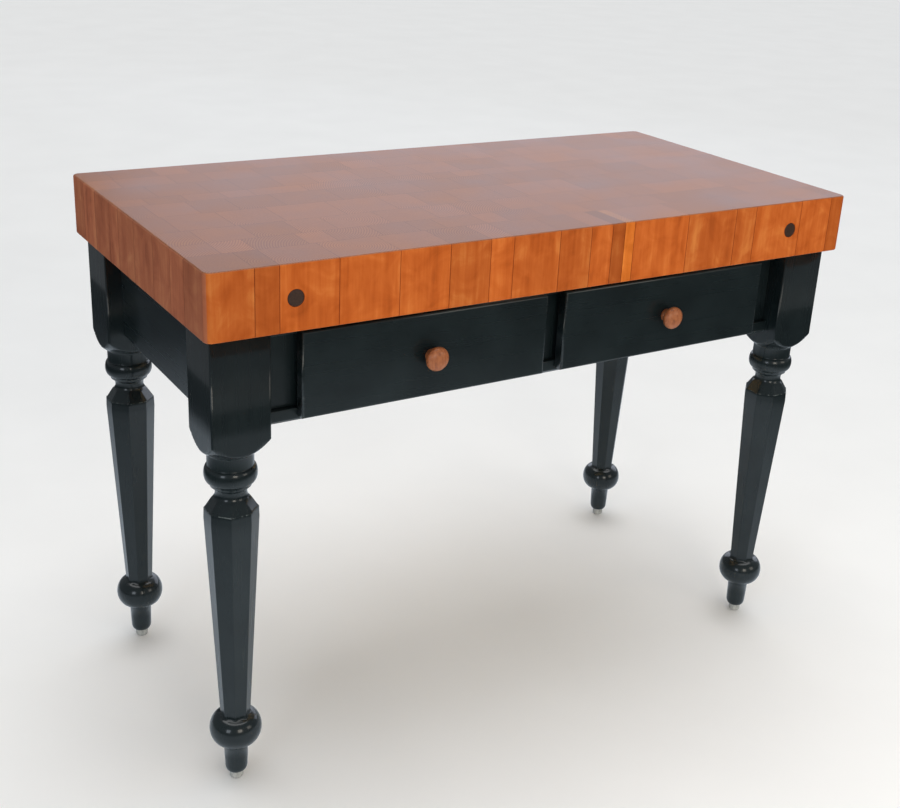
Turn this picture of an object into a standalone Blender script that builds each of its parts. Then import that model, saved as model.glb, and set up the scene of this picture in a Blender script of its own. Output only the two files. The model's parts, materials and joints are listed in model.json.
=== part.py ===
"""Butcher block table with two drawers, in metres, +Z up.

The origin is on the floor under the middle of the table. The length runs along X, the drawers face -Y.
An end-grain slab is clamped by two tie bolts and rests on four turned legs. Corner blocks and hanger bolts
hold the legs to the aprons and the front frame, and two drawers slide out between wooden runners.
"""

import math

import bmesh
import bpy
from mathutils import Matrix, Vector

MM = 0.001

# Overall size.
TABLE_LENGTH = 1219.2 * MM
TABLE_DEPTH = 609.6 * MM
TABLE_HEIGHT = 889.0 * MM
GAP = 0.3 * MM  # between pieces that touch
SHARP_ANGLE = math.radians(35)

# Slab and the hardware that clamps it.
SLAB_THICKNESS = 101.6 * MM
SLAB_CORNER_RADIUS = 12.0 * MM
SLAB_EDGE_ROUND = 3.0 * MM
TIE_BOLT_INSET = 133.0 * MM  # from the end of the slab to the bolt's axis
TIE_BOLT_RADIUS = 6.35 * MM
TIE_BOLT_CLEARANCE = 0.7 * MM
COUNTERBORE_RADIUS = 12.7 * MM
COUNTERBORE_DEPTH = 38.0 * MM
TIE_HEX_FLATS = 19.0 * MM
TIE_HEAD_THICKNESS = 8.0 * MM
TIE_NUT_THICKNESS = 11.0 * MM
TIE_END_PROUD = 3.0 * MM  # bolt end beyond its nut
PLUG_LENGTH = 12.0 * MM

# Legs. The turned radii are cut depths below the face of the square blank.
LEG_WIDTH = 92.0 * MM
LEG_INSET_X = 13.6 * MM  # from the slab's end to the leg's outer face
LEG_INSET_Y = 23.9 * MM
LEG_SIDES = 32  # points round each section: faces, octagon corners and block corners all fall on one
BLOCK_HEIGHT = 167.0 * MM  # straight square part
POMMEL_DROP = 30.0 * MM
POMMEL_STEPS = 3
POMMEL_FALL = 1.7  # 1 rounds the shoulder to a quarter ellipse, 2 cuts it to a straight slope
NECK_HEIGHT = 22.0 * MM
NECK_CUT = 10.7 * MM
RING_CUT = 6.0 * MM
RING_HEIGHT = 27.0 * MM
FILLET_CUT = 14.5 * MM
FILLET_HEIGHT = 6.0 * MM
COVE_CUT = 22.0 * MM
COVE_HEIGHT = 12.0 * MM
COVE_STEPS = 2
FLARE_HEIGHT = 26.0 * MM  # eight-sided slope from the cove out to the collar
COLLAR_CUT = 8.0 * MM
COLLAR_HEIGHT = 17.0 * MM
OCTAGON_CUT = 7.4 * MM
ANKLE_CUT = 24.0 * MM
ANKLE_HEIGHT = 125.0 * MM  # above the floor, where the octagon ends
BULB_CUT = 4.5 * MM
BULB_CENTRE = 99.0 * MM
BULB_BOTTOM = 72.0 * MM
PEG_CUT = 26.6 * MM
TOE_CUT = 27.8 * MM
TOE_ROUND = 12.0 * MM
GLIDE_HEIGHT = 15.0 * MM
GLIDE_RADIUS = 11.0 * MM
GLIDE_ROUND = 4.0 * MM
GLIDE_NAIL_RADIUS = 1.6 * MM
GLIDE_NAIL_LENGTH = 18.0 * MM

# Aprons and front frame.
APRON_SETBACK = 27.0 * MM  # from the leg's outer face
APRON_THICKNESS = 22.0 * MM
APRON_HEIGHT = 162.0 * MM
APRON_CHAMFER = 5.0 * MM
RAIL_HEIGHT = 22.0 * MM
STILE_SETBACK = 10.0 * MM  # behind the face of the rails
END_STILE_WIDTH = 64.0 * MM
CENTRE_STILE_WIDTH = 60.0 * MM

# Corner blocks, with the bolts that draw the legs in and the screws that hold the slab down.
CORNER_BLOCK_THICKNESS = 25.0 * MM
CORNER_BLOCK_DROP = 88.0 * MM  # its lower face under the slab
CORNER_BLOCK_CLEAR = 6.0 * MM  # from the drawer opening
HANGER_RADIUS = 4.0 * MM
HANGER_DROP = 46.0 * MM  # axis under the slab
HANGER_DEPTH = 42.0 * MM  # in the leg
HANGER_NUT_FLATS = 13.0 * MM
HANGER_NUT_THICKNESS = 9.0 * MM
HANGER_END_PROUD = 5.0 * MM
HANGER_FLANGE_RADIUS = 10.0 * MM
FLANGE_THICKNESS = 2.0 * MM
HEX_POINTS = 24  # points round a hexagon head or nut, and round the shank that joins it
BORE_SIDES = 24
SCREW_SIDES = 16
HOLE_SIDES = 12
GLIDE_SIDES = 20
LAG_RADIUS = 3.2 * MM
LAG_OFFSET = 28.0 * MM  # along the block from the hanger bolt
LAG_DEPTH = 38.0 * MM  # in the slab
LAG_HEAD_FLATS = 11.0 * MM
LAG_HEAD_THICKNESS = 5.0 * MM
HOLE_CLEARANCE = 0.4 * MM

# Drawers and the runners that carry them.
FRONT_THICKNESS = 20.0 * MM
FRONT_REVEAL = 18.0 * MM  # from the table's middle to the drawer front
FRONT_LAP = 12.0 * MM  # of the drawer front over the opening's outer edge
FRONT_ABOVE_RAIL = 11.0 * MM  # from the lower rail's bottom edge
FRONT_UNDER_SLAB = 15.0 * MM
FRONT_ROUND = 5.0 * MM
BOX_CLEARANCE = 2.0 * MM  # each side of the drawer box
BOX_THICKNESS = 12.0 * MM
BOX_HEIGHT = 96.0 * MM
BOX_LENGTH = 430.0 * MM
BOTTOM_THICKNESS = 5.0 * MM
BOTTOM_RAISE = 9.5 * MM  # of the bottom panel above the sides' lower edges
GROOVE_DEPTH = 6.0 * MM
RUNNER_THICKNESS = 12.0 * MM
RUNNER_LEDGE = 20.0 * MM
GUIDE_HEIGHT = 38.0 * MM
GUIDE_THICKNESS = 14.0 * MM
STOP_LENGTH = 60.0 * MM
STOP_WIDTH = 44.0 * MM
STOP_CATCH = 9.0 * MM  # how far the stop hangs below the drawer's top edge
KNOB_RADIUS = 20.0 * MM
KNOB_STEM_RADIUS = 9.0 * MM
KNOB_BASE_RADIUS = 11.0 * MM
KNOB_LENGTH = 29.0 * MM
KNOB_WAIST = 9.0 * MM  # from the drawer front to the cap
KNOB_CAP_STEPS = 7
KNOB_SIDES = 24
KNOB_SCREW_RADIUS = 2.1 * MM
KNOB_SCREW_DEPTH = 16.0 * MM  # in the knob
KNOB_SCREW_HEAD_RADIUS = 4.5 * MM
KNOB_SCREW_HEAD_THICKNESS = 3.0 * MM

# Planes and lines that several pieces share.
HALF_LEG = LEG_WIDTH / 2
SLAB_UNDER = TABLE_HEIGHT - SLAB_THICKNESS
BASE_TOP = SLAB_UNDER - GAP
LEG_X = TABLE_LENGTH / 2 - LEG_INSET_X - HALF_LEG
LEG_Y = TABLE_DEPTH / 2 - LEG_INSET_Y - HALF_LEG
CLEAR_X = LEG_X - HALF_LEG  # inner faces of the legs
CLEAR_Y = LEG_Y - HALF_LEG
APRON_FACE_X = LEG_X + HALF_LEG - APRON_SETBACK
APRON_FACE_Y = LEG_Y + HALF_LEG - APRON_SETBACK
APRON_BACK_X = APRON_FACE_X - APRON_THICKNESS
APRON_BACK_Y = APRON_FACE_Y - APRON_THICKNESS
APRON_BOTTOM = BASE_TOP - APRON_HEIGHT
RAIL_TOP = APRON_BOTTOM + RAIL_HEIGHT
OPENING_IN = CENTRE_STILE_WIDTH / 2
OPENING_OUT = CLEAR_X - END_STILE_WIDTH
TIE_BOLT_X = TABLE_LENGTH / 2 - TIE_BOLT_INSET
TIE_BOLT_Z = TABLE_HEIGHT - SLAB_THICKNESS / 2
CHAMFER_REACH = HALF_LEG / math.cos(math.radians(33.75)) * math.cos(math.radians(11.25))
BOX_BOTTOM = RAIL_TOP + 2 * GAP
BOX_TOP = BOX_BOTTOM + BOX_HEIGHT
FRONT_BACK_Y = -APRON_FACE_Y - 2 * GAP  # rear face of the drawer fronts
FRONT_FACE_Y = FRONT_BACK_Y - FRONT_THICKNESS
FRONT_BOTTOM = APRON_BOTTOM + FRONT_ABOVE_RAIL
FRONT_TOP = SLAB_UNDER - FRONT_UNDER_SLAB
BOX_START_Y = FRONT_BACK_Y + GAP
BOX_END_Y = BOX_START_Y + BOX_LENGTH
PANEL_BOTTOM = BOX_BOTTOM + BOTTOM_RAISE
PANEL_TOP = PANEL_BOTTOM + BOTTOM_THICKNESS
KNOB_X = (FRONT_REVEAL + OPENING_OUT + FRONT_LAP) / 2
KNOB_Z = (FRONT_BOTTOM + FRONT_TOP) / 2

CORNERS = {
    "front_left": (-1, -1),
    "front_right": (1, -1),
    "back_left": (-1, 1),
    "back_right": (1, 1),
}

# Name: (colour, roughness, metallic)
FINISHES = {
    "cherry_end_grain": ((0.46, 0.17, 0.05), 0.35, 0.0),
    "black_paint": ((0.012, 0.018, 0.019), 0.4, 0.0),
    "bare_poplar": ((0.62, 0.50, 0.32), 0.6, 0.0),
    "birch_plywood": ((0.66, 0.50, 0.31), 0.55, 0.0),
    "cherry_knob": ((0.42, 0.20, 0.11), 0.35, 0.0),
    "dark_plug": ((0.035, 0.022, 0.016), 0.5, 0.0),
    "zinc_steel": ((0.56, 0.57, 0.58), 0.35, 1.0),
    "grey_nylon": ((0.55, 0.55, 0.54), 0.45, 0.0),
}


def clear_scene():
    for obj in list(bpy.data.objects):
        bpy.data.objects.remove(obj, do_unlink=True)


def finish(name):
    material = bpy.data.materials.get(name)
    if material is None:
        colour, roughness, metallic = FINISHES[name]
        material = bpy.data.materials.new(name)
        material.use_nodes = True
        shader = material.node_tree.nodes["Principled BSDF"]
        shader.inputs["Base Color"].default_value = (*colour, 1.0)
        shader.inputs["Roughness"].default_value = roughness
        shader.inputs["Metallic"].default_value = metallic
    return material


# Shapes, each made as a bmesh.


def join_rings(mesh, rings, capped=True):
    """Side faces between rings of points. The end rings are capped, or else joined to each other."""
    count = len(rings[0])
    pairs = list(zip(rings, rings[1:]))
    if not capped:
        pairs.append((rings[-1], rings[0]))
    for lower, upper in pairs:
        for i in range(count):
            j = (i + 1) % count
            mesh.faces.new((lower[i], lower[j], upper[j], upper[i]))
    if capped:
        mesh.faces.new(rings[0])
        mesh.faces.new(rings[-1])


def box_shape(low, high):
    low, high = Vector(low), Vector(high)
    mesh = bmesh.new()
    bmesh.ops.create_cube(mesh, size=1.0)
    bmesh.ops.scale(mesh, vec=high - low, verts=mesh.verts)
    bmesh.ops.translate(mesh, vec=(low + high) / 2, verts=mesh.verts)
    return mesh


def prism_shape(outline, start, end, along):
    """An outline in the two other axes, in X, Y, Z order, drawn from start to end along one axis."""
    across = [axis for axis in range(3) if axis != along]
    mesh = bmesh.new()
    rings = []
    for reach in (start, end):
        ring = []
        for point in outline:
            corner = Vector((0.0, 0.0, 0.0))
            corner[along] = reach
            corner[across[0]], corner[across[1]] = point
            ring.append(mesh.verts.new(corner))
        rings.append(ring)
    join_rings(mesh, rings)
    return mesh


def lofted_shape(sections, turn=None, capped=True):
    """Sections up the Z axis, each a height and a list of radii evenly spaced in angle. turn moves it all."""
    mesh = bmesh.new()
    rings = []
    for height, radii in sections:
        ring = []
        for i, radius in enumerate(radii):
            angle = 2 * math.pi * i / len(radii)
            ring.append(mesh.verts.new((radius * math.cos(angle), radius * math.sin(angle), height)))
        rings.append(ring)
    join_rings(mesh, rings, capped)
    if turn is not None:
        bmesh.ops.transform(mesh, matrix=turn, verts=mesh.verts)
    return mesh


def turned_shape(profile, sides, turn=None):
    """A lathe-turned piece from (height, radius) pairs."""
    return lofted_shape([(height, [radius] * sides) for height, radius in profile], turn)


def hexagon(flats):
    """Radii of a hexagon of this width across its flats, at HEX_POINTS even angles."""
    radii = []
    for i in range(HEX_POINTS):
        from_flat = (2 * math.pi * i / HEX_POINTS) % (math.pi / 3) - math.pi / 6
        radii.append(flats / 2 / math.cos(from_flat))
    return radii


def hex_bolt_shape(radius, length, flats, head, turn):
    """The head lies below zero and the shank above it."""
    shank = [radius] * HEX_POINTS
    return lofted_shape([(-head, hexagon(flats)), (0.0, hexagon(flats)), (0.0, shank), (length, shank)], turn)


def nut_shape(bore, thickness, flats, turn, flange=0.0):
    """A hexagon nut with its seat at zero. A flange radius widens the first FLANGE_THICKNESS."""
    hole = [bore] * HEX_POINTS
    sections = [(0.0, hole)]
    if flange:
        sections += [(0.0, [flange] * HEX_POINTS), (FLANGE_THICKNESS, [flange] * HEX_POINTS)]
        sections += [(FLANGE_THICKNESS, hexagon(flats))]
    else:
        sections += [(0.0, hexagon(flats))]
    sections += [(thickness, hexagon(flats)), (thickness, hole)]
    return lofted_shape(sections, turn, capped=False)


def along_axis(start, direction):
    """The matrix that lays the Z axis from start along direction."""
    return Matrix.Translation(Vector(start)) @ Vector(direction).to_track_quat("Z", "Y").to_matrix().to_4x4()


def round_edges(mesh, wanted, width, segments):
    """Rounds the edges whose two ends satisfy wanted."""
    edges = [edge for edge in mesh.edges if wanted(edge.verts[0].co, edge.verts[1].co)]
    bmesh.ops.bevel(mesh, geom=edges, offset=width, segments=segments, profile=0.5, affect="EDGES")


# Objects.


def raw_object(name, mesh):
    bmesh.ops.recalc_face_normals(mesh, faces=mesh.faces)
    data = bpy.data.meshes.new(name)
    mesh.to_mesh(data)
    mesh.free()
    obj = bpy.data.objects.new(name, data)
    bpy.context.scene.collection.objects.link(obj)
    return obj


def solid(name, mesh, finish_name, cutters=(), smooth=False):
    """The mesh of one piece, with each cutter taken out of it, ready for one object or several."""
    blank = raw_object(name, mesh)
    helpers = [blank]
    for cutter in cutters:
        helper = raw_object(f"{name}_cutter", cutter)
        helpers.append(helper)
        modifier = blank.modifiers.new("cut", "BOOLEAN")
        modifier.operation = "DIFFERENCE"
        modifier.solver = "EXACT"
        modifier.object = helper
    graph = bpy.context.evaluated_depsgraph_get()
    data = bpy.data.meshes.new_from_object(blank.evaluated_get(graph))
    for helper in helpers:
        bpy.data.objects.remove(helper, do_unlink=True)
    data.name = name
    data.materials.clear()
    data.materials.append(finish(finish_name))
    if smooth:
        data.shade_smooth()
        data.set_sharp_from_angle(angle=SHARP_ANGLE)
    return data


def add(name, data, location=(0.0, 0.0, 0.0), turn=0.0, slide=None):
    """One piece of the table. A piece of a drawer rides on the drawer's empty."""
    obj = bpy.data.objects.new(name, data)
    obj.location = location
    obj.rotation_euler = (0.0, 0.0, turn)
    bpy.context.scene.collection.objects.link(obj)
    if slide is not None:
        obj.parent = slide
        obj.matrix_parent_inverse = Matrix.Translation(-slide.location)
    return obj


# The slab and the bolts through it.


def lag_place(side_x, side_y):
    """The lag screw's place in a corner block, along the block from its hanger bolt."""
    out = CHAMFER_REACH + GAP + CORNER_BLOCK_THICKNESS / 2
    inward = Vector((-side_x, -side_y)) / math.sqrt(2)
    along = Vector((side_x, -side_y)) / math.sqrt(2)
    return Vector((side_x * LEG_X, side_y * LEG_Y)) + inward * out + along * LAG_OFFSET


def add_slab():
    half_x, half_y = TABLE_LENGTH / 2, TABLE_DEPTH / 2
    mesh = box_shape((-half_x, -half_y, SLAB_UNDER), (half_x, half_y, TABLE_HEIGHT))
    round_edges(mesh, lambda a, b: abs(a.z - b.z) > SLAB_THICKNESS / 2, SLAB_CORNER_RADIUS, 4)
    round_edges(mesh, lambda a, b: abs(a.z - b.z) < GAP, SLAB_EDGE_ROUND, 2)
    bore = TIE_BOLT_RADIUS + TIE_BOLT_CLEARANCE
    overrun = half_y + COUNTERBORE_DEPTH
    seat = half_y - COUNTERBORE_DEPTH
    tunnel = [
        (-overrun, COUNTERBORE_RADIUS),
        (-seat, COUNTERBORE_RADIUS),
        (-seat, bore),
        (seat, bore),
        (seat, COUNTERBORE_RADIUS),
        (overrun, COUNTERBORE_RADIUS),
    ]
    cutters = []
    for x in (-TIE_BOLT_X, TIE_BOLT_X):
        cutters.append(turned_shape(tunnel, BORE_SIDES, along_axis((x, 0.0, TIE_BOLT_Z), (0, 1, 0))))
    for side_x, side_y in CORNERS.values():
        x, y = lag_place(side_x, side_y)
        depth = LAG_DEPTH + GAP
        hole = [(-depth, LAG_RADIUS + HOLE_CLEARANCE), (depth, LAG_RADIUS + HOLE_CLEARANCE)]
        cutters.append(turned_shape(hole, HOLE_SIDES, along_axis((x, y, SLAB_UNDER), (0, 0, 1))))
    add("butcher_block_top", solid("butcher_block_top", mesh, "cherry_end_grain", cutters, smooth=True))


def add_tie_bolts():
    """Each bolt has its head at the back and its nut at the front, both in a plugged counterbore."""
    seat = TABLE_DEPTH / 2 - COUNTERBORE_DEPTH
    length = 2 * seat + TIE_NUT_THICKNESS + TIE_END_PROUD
    forward = along_axis((0, 0, 0), (0, -1, 0))
    bolt = hex_bolt_shape(TIE_BOLT_RADIUS, length, TIE_HEX_FLATS, TIE_HEAD_THICKNESS, forward)
    bolt_data = solid("tie_bolt", bolt, "zinc_steel", smooth=True)
    bore = TIE_BOLT_RADIUS + HOLE_CLEARANCE
    nut = nut_shape(bore, TIE_NUT_THICKNESS, TIE_HEX_FLATS, forward)
    nut_data = solid("tie_bolt_nut", nut, "zinc_steel", smooth=True)
    radius = COUNTERBORE_RADIUS - GAP
    backward = along_axis((0, 0, 0), (0, 1, 0))
    plug = turned_shape([(0.0, radius), (PLUG_LENGTH, radius)], BORE_SIDES, backward)
    plug_data = solid("tie_bolt_plug", plug, "dark_plug", smooth=True)
    for side, x in (("left", -TIE_BOLT_X), ("right", TIE_BOLT_X)):
        add(f"tie_bolt_{side}", bolt_data, (x, seat + GAP, TIE_BOLT_Z))
        add(f"tie_bolt_nut_{side}", nut_data, (x, -seat - GAP, TIE_BOLT_Z))
        add(f"tie_bolt_plug_front_{side}", plug_data, (x, -TABLE_DEPTH / 2, TIE_BOLT_Z))
        add(f"tie_bolt_plug_back_{side}", plug_data, (x, TABLE_DEPTH / 2 - PLUG_LENGTH, TIE_BOLT_Z))


# The legs.


def section(turned=None, octagon=None):
    """Radii of a leg's cross-section: a square blank with its inner corner cut flat for the hanger bolt."""
    radii = []
    for i in range(LEG_SIDES):
        angle = 2 * math.pi * i / LEG_SIDES
        radius = HALF_LEG / max(abs(math.cos(angle)), abs(math.sin(angle)))
        from_corner = math.cos(angle - math.pi / 4)
        if from_corner > 0:
            radius = min(radius, CHAMFER_REACH / from_corner)
        if turned is not None:
            radius = min(radius, turned)
        if octagon is not None:
            from_flat = (angle + math.pi / 8) % (math.pi / 4) - math.pi / 8
            radius = min(radius, octagon / math.cos(from_flat))
        radii.append(radius)
    return radii


def swell(top, bottom, middle, steps):
    """A bead or cove between two (height, radius) ends, through a middle one, as two quarter ellipses."""
    points = []
    for i in range(2 * steps + 1):
        angle = math.pi / 2 * (i - steps) / steps
        end_height, end_radius = top if i < steps else bottom
        height = middle[0] + (end_height - middle[0]) * abs(math.sin(angle))
        points.append((height, end_radius + (middle[1] - end_radius) * math.cos(angle)))
    return points


def leg_sections():
    """The leg from top to toe: block, pommel, neck, ring, fillet, cove, flare, collar, taper, bulb and peg."""
    pommel = BASE_TOP - BLOCK_HEIGHT
    neck = pommel - POMMEL_DROP
    ring_top = neck - NECK_HEIGHT
    ring_bottom = ring_top - RING_HEIGHT
    cove_top = ring_bottom - FILLET_HEIGHT
    waist = cove_top - COVE_HEIGHT
    collar_top = waist - FLARE_HEIGHT
    collar_bottom = collar_top - COLLAR_HEIGHT
    fillet_radius = HALF_LEG - FILLET_CUT
    neck_radius = HALF_LEG - NECK_CUT
    reach = HALF_LEG * math.sqrt(2)
    sections = [(BASE_TOP, section()), (pommel, section())]
    for step in range(1, POMMEL_STEPS + 1):
        angle = math.pi / 2 * step / POMMEL_STEPS
        inward, down = (max(side, 0.0) ** POMMEL_FALL for side in (math.cos(angle), math.sin(angle)))
        radius = neck_radius + (reach - neck_radius) * inward
        sections.append((pommel - POMMEL_DROP * down, section(turned=radius)))
    ring = swell(
        (ring_top, neck_radius),
        (ring_bottom, fillet_radius),
        ((ring_top + ring_bottom) / 2, HALF_LEG - RING_CUT),
        2,
    )
    cove = []
    for step in range(COVE_STEPS + 1):
        angle = math.pi / 2 * step / COVE_STEPS
        radius = fillet_radius - (COVE_CUT - FILLET_CUT) * math.sin(angle)
        cove.append((waist + COVE_HEIGHT * math.cos(angle), radius))
    sections += [(height, section(turned=radius)) for height, radius in ring + cove]
    sections.append((collar_top, section(octagon=HALF_LEG - COLLAR_CUT)))
    sections.append((collar_bottom, section(octagon=HALF_LEG - OCTAGON_CUT)))
    sections.append((ANKLE_HEIGHT, section(octagon=HALF_LEG - ANKLE_CUT)))
    ankle = (HALF_LEG - ANKLE_CUT) / math.cos(math.pi / 8) + GAP
    bulb = swell(
        (ANKLE_HEIGHT - GAP, ankle), (BULB_BOTTOM, HALF_LEG - PEG_CUT), (BULB_CENTRE, HALF_LEG - BULB_CUT), 3
    )
    sections += [(height, section(turned=radius)) for height, radius in bulb]
    toe = HALF_LEG - TOE_CUT
    seat = GLIDE_HEIGHT + GAP
    sections.append((seat + TOE_ROUND, section(turned=toe)))
    sections.append((seat, section(turned=toe - TOE_ROUND / 2)))
    return sections


def add_legs():
    """One mesh serves all four, turned so that the flat corner faces the middle of the table."""
    inward = Vector((1, 1, 0)).normalized()
    start = inward * (CHAMFER_REACH - HANGER_DEPTH - GAP)
    start.z = SLAB_UNDER - HANGER_DROP
    hole = [(0.0, HANGER_RADIUS + HOLE_CLEARANCE), (LEG_WIDTH, HANGER_RADIUS + HOLE_CLEARANCE)]
    nail = GLIDE_NAIL_RADIUS + HOLE_CLEARANCE
    cutters = [
        turned_shape(hole, SCREW_SIDES, along_axis(start, inward)),
        turned_shape([(0.0, nail), (GLIDE_HEIGHT + GLIDE_NAIL_LENGTH + GAP, nail)], HOLE_SIDES),
    ]
    leg_data = solid("leg", lofted_shape(leg_sections()), "black_paint", cutters, smooth=True)
    profile = [
        (0.0, GLIDE_RADIUS - GLIDE_ROUND),
        (GLIDE_ROUND, GLIDE_RADIUS),
        (GLIDE_HEIGHT, GLIDE_RADIUS),
        (GLIDE_HEIGHT, GLIDE_NAIL_RADIUS),
        (GLIDE_HEIGHT + GLIDE_NAIL_LENGTH, GLIDE_NAIL_RADIUS),
    ]
    glide_data = solid("foot_glide", turned_shape(profile, GLIDE_SIDES), "grey_nylon", smooth=True)
    for corner, (side_x, side_y) in CORNERS.items():
        turn = math.atan2(-side_y, -side_x) - math.pi / 4
        place = (side_x * LEG_X, side_y * LEG_Y, 0.0)
        add(f"leg_{corner}", leg_data, place, turn)
        add(f"foot_glide_{corner}", glide_data, place)


# The aprons, the front frame and the corner blocks.


def board_outline(face, thickness, bottom, top, chamfer):
    """A board on edge: the lower corner of its outer face is chamfered."""
    side = math.copysign(1.0, face)
    back = face - side * thickness
    return [
        (back, bottom),
        (back, top),
        (face, top),
        (face, bottom + chamfer),
        (face - side * chamfer, bottom),
    ]


def add_aprons():
    ends = CLEAR_Y - GAP
    for side, sign in (("left", -1), ("right", 1)):
        outline = board_outline(sign * APRON_FACE_X, APRON_THICKNESS, APRON_BOTTOM, BASE_TOP, APRON_CHAMFER)
        mesh = prism_shape(outline, -ends, ends, 1)
        add(f"apron_{side}", solid(f"apron_{side}", mesh, "black_paint"))
    outline = board_outline(APRON_FACE_Y, APRON_THICKNESS, APRON_BOTTOM, BASE_TOP, APRON_CHAMFER)
    mesh = prism_shape(outline, -CLEAR_X + GAP, CLEAR_X - GAP, 0)
    add("apron_back", solid("apron_back", mesh, "black_paint"))


def add_front_frame():
    ends = CLEAR_X - GAP
    outline = board_outline(-APRON_FACE_Y, APRON_THICKNESS, APRON_BOTTOM, RAIL_TOP, APRON_CHAMFER)
    add("front_rail_bottom", solid("front_rail_bottom", prism_shape(outline, -ends, ends, 0), "black_paint"))
    upper = BASE_TOP - RAIL_HEIGHT
    mesh = box_shape((-ends, -APRON_FACE_Y, upper), (ends, -APRON_BACK_Y, BASE_TOP))
    add("front_rail_top", solid("front_rail_top", mesh, "black_paint"))
    stiles = {
        "front_stile_left": (-ends, -OPENING_OUT),
        "front_stile_centre": (-OPENING_IN, OPENING_IN),
        "front_stile_right": (OPENING_OUT, ends),
    }
    for name, (left, right) in stiles.items():
        low = (left, -APRON_FACE_Y + STILE_SETBACK, RAIL_TOP + GAP)
        mesh = box_shape(low, (right, -APRON_BACK_Y, upper - GAP))
        add(name, solid(name, mesh, "black_paint"))


def corner_block_outline():
    """Seen from above in the corner where X and Y are positive, as distances from the table's middle."""
    near = LEG_X + LEG_Y - math.sqrt(2) * (CHAMFER_REACH + GAP)  # X + Y on the face towards the leg
    far = near - math.sqrt(2) * CORNER_BLOCK_THICKNESS
    side = APRON_BACK_X - GAP
    end = APRON_BACK_Y - GAP
    outline = [(side, far - side), (side, near - side), (near - end, end)]
    clear = OPENING_OUT + CORNER_BLOCK_CLEAR
    if clear > far - end:
        outline += [(clear, end), (clear, far - clear)]
    else:
        outline += [(far - end, end)]
    return outline


def add_corners():
    """In each corner a block, a hanger bolt and its flange nut, and a lag screw up into the slab."""
    bolt_z = SLAB_UNDER - HANGER_DROP
    block_bottom = SLAB_UNDER - CORNER_BLOCK_DROP
    grip = CHAMFER_REACH + 2 * GAP + CORNER_BLOCK_THICKNESS
    lag_length = CORNER_BLOCK_DROP + GAP + LAG_DEPTH
    lag = hex_bolt_shape(LAG_RADIUS, lag_length, LAG_HEAD_FLATS, LAG_HEAD_THICKNESS, Matrix.Identity(4))
    lag_data = solid("top_lag_screw", lag, "zinc_steel", smooth=True)
    for corner, (side_x, side_y) in CORNERS.items():
        inward = Vector((-side_x, -side_y, 0)).normalized()
        axis = Vector((side_x * LEG_X, side_y * LEG_Y, bolt_z))
        lag_x, lag_y = lag_place(side_x, side_y)
        outline = [(side_x * x, side_y * y) for x, y in corner_block_outline()]
        hanger_hole = HANGER_RADIUS + HOLE_CLEARANCE
        lag_hole = LAG_RADIUS + HOLE_CLEARANCE
        under_block = along_axis((lag_x, lag_y, block_bottom - CORNER_BLOCK_THICKNESS), (0, 0, 1))
        through_grip = [(0.0, hanger_hole), (2 * grip, hanger_hole)]
        cutters = [
            turned_shape(through_grip, SCREW_SIDES, along_axis(axis, inward)),
            turned_shape([(0.0, lag_hole), (2 * CORNER_BLOCK_DROP, lag_hole)], HOLE_SIDES, under_block),
        ]
        block = prism_shape(outline, block_bottom, BASE_TOP, 2)
        add(f"corner_block_{corner}", solid(f"corner_block_{corner}", block, "bare_poplar", cutters))
        inner_end = axis + inward * (CHAMFER_REACH - HANGER_DEPTH)
        length = HANGER_DEPTH + grip - CHAMFER_REACH + HANGER_NUT_THICKNESS + HANGER_END_PROUD
        profile = [(0.0, HANGER_RADIUS), (length, HANGER_RADIUS)]
        name = f"hanger_bolt_{corner}"
        bolt = turned_shape(profile, SCREW_SIDES, along_axis((0, 0, 0), inward))
        add(name, solid(name, bolt, "zinc_steel", smooth=True), inner_end)
        name = f"hanger_nut_{corner}"
        bore = HANGER_RADIUS + HOLE_CLEARANCE
        turn = along_axis((0, 0, 0), inward)
        nut = nut_shape(bore, HANGER_NUT_THICKNESS, HANGER_NUT_FLATS, turn, HANGER_FLANGE_RADIUS)
        add(name, solid(name, nut, "zinc_steel", smooth=True), axis + inward * grip)
        add(f"top_lag_screw_{corner}", lag_data, (lag_x, lag_y, block_bottom - GAP))


# Runners, stops and drawers.


def add_runners():
    """Ledges level with the lower rail carry the drawer sides, and guides beside them keep them straight."""
    ends = APRON_BACK_Y - GAP
    ledge = RAIL_TOP - RUNNER_THICKNESS
    guide = RAIL_TOP + GUIDE_HEIGHT
    outer = [
        (OPENING_OUT - RUNNER_LEDGE, ledge),
        (OPENING_OUT + GUIDE_THICKNESS, ledge),
        (OPENING_OUT + GUIDE_THICKNESS, guide),
        (OPENING_OUT, guide),
        (OPENING_OUT, RAIL_TOP),
        (OPENING_OUT - RUNNER_LEDGE, RAIL_TOP),
    ]
    half = [
        (OPENING_IN + RUNNER_LEDGE, ledge),
        (OPENING_IN + RUNNER_LEDGE, RAIL_TOP),
        (OPENING_IN, RAIL_TOP),
        (OPENING_IN, guide),
    ]
    outlines = {
        "drawer_runner_left": [(-x, z) for x, z in outer],
        "drawer_runner_centre": half + [(-x, z) for x, z in reversed(half)],
        "drawer_runner_right": outer,
    }
    for name, outline in outlines.items():
        add(name, solid(name, prism_shape(outline, -ends, ends, 1), "bare_poplar"))


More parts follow.
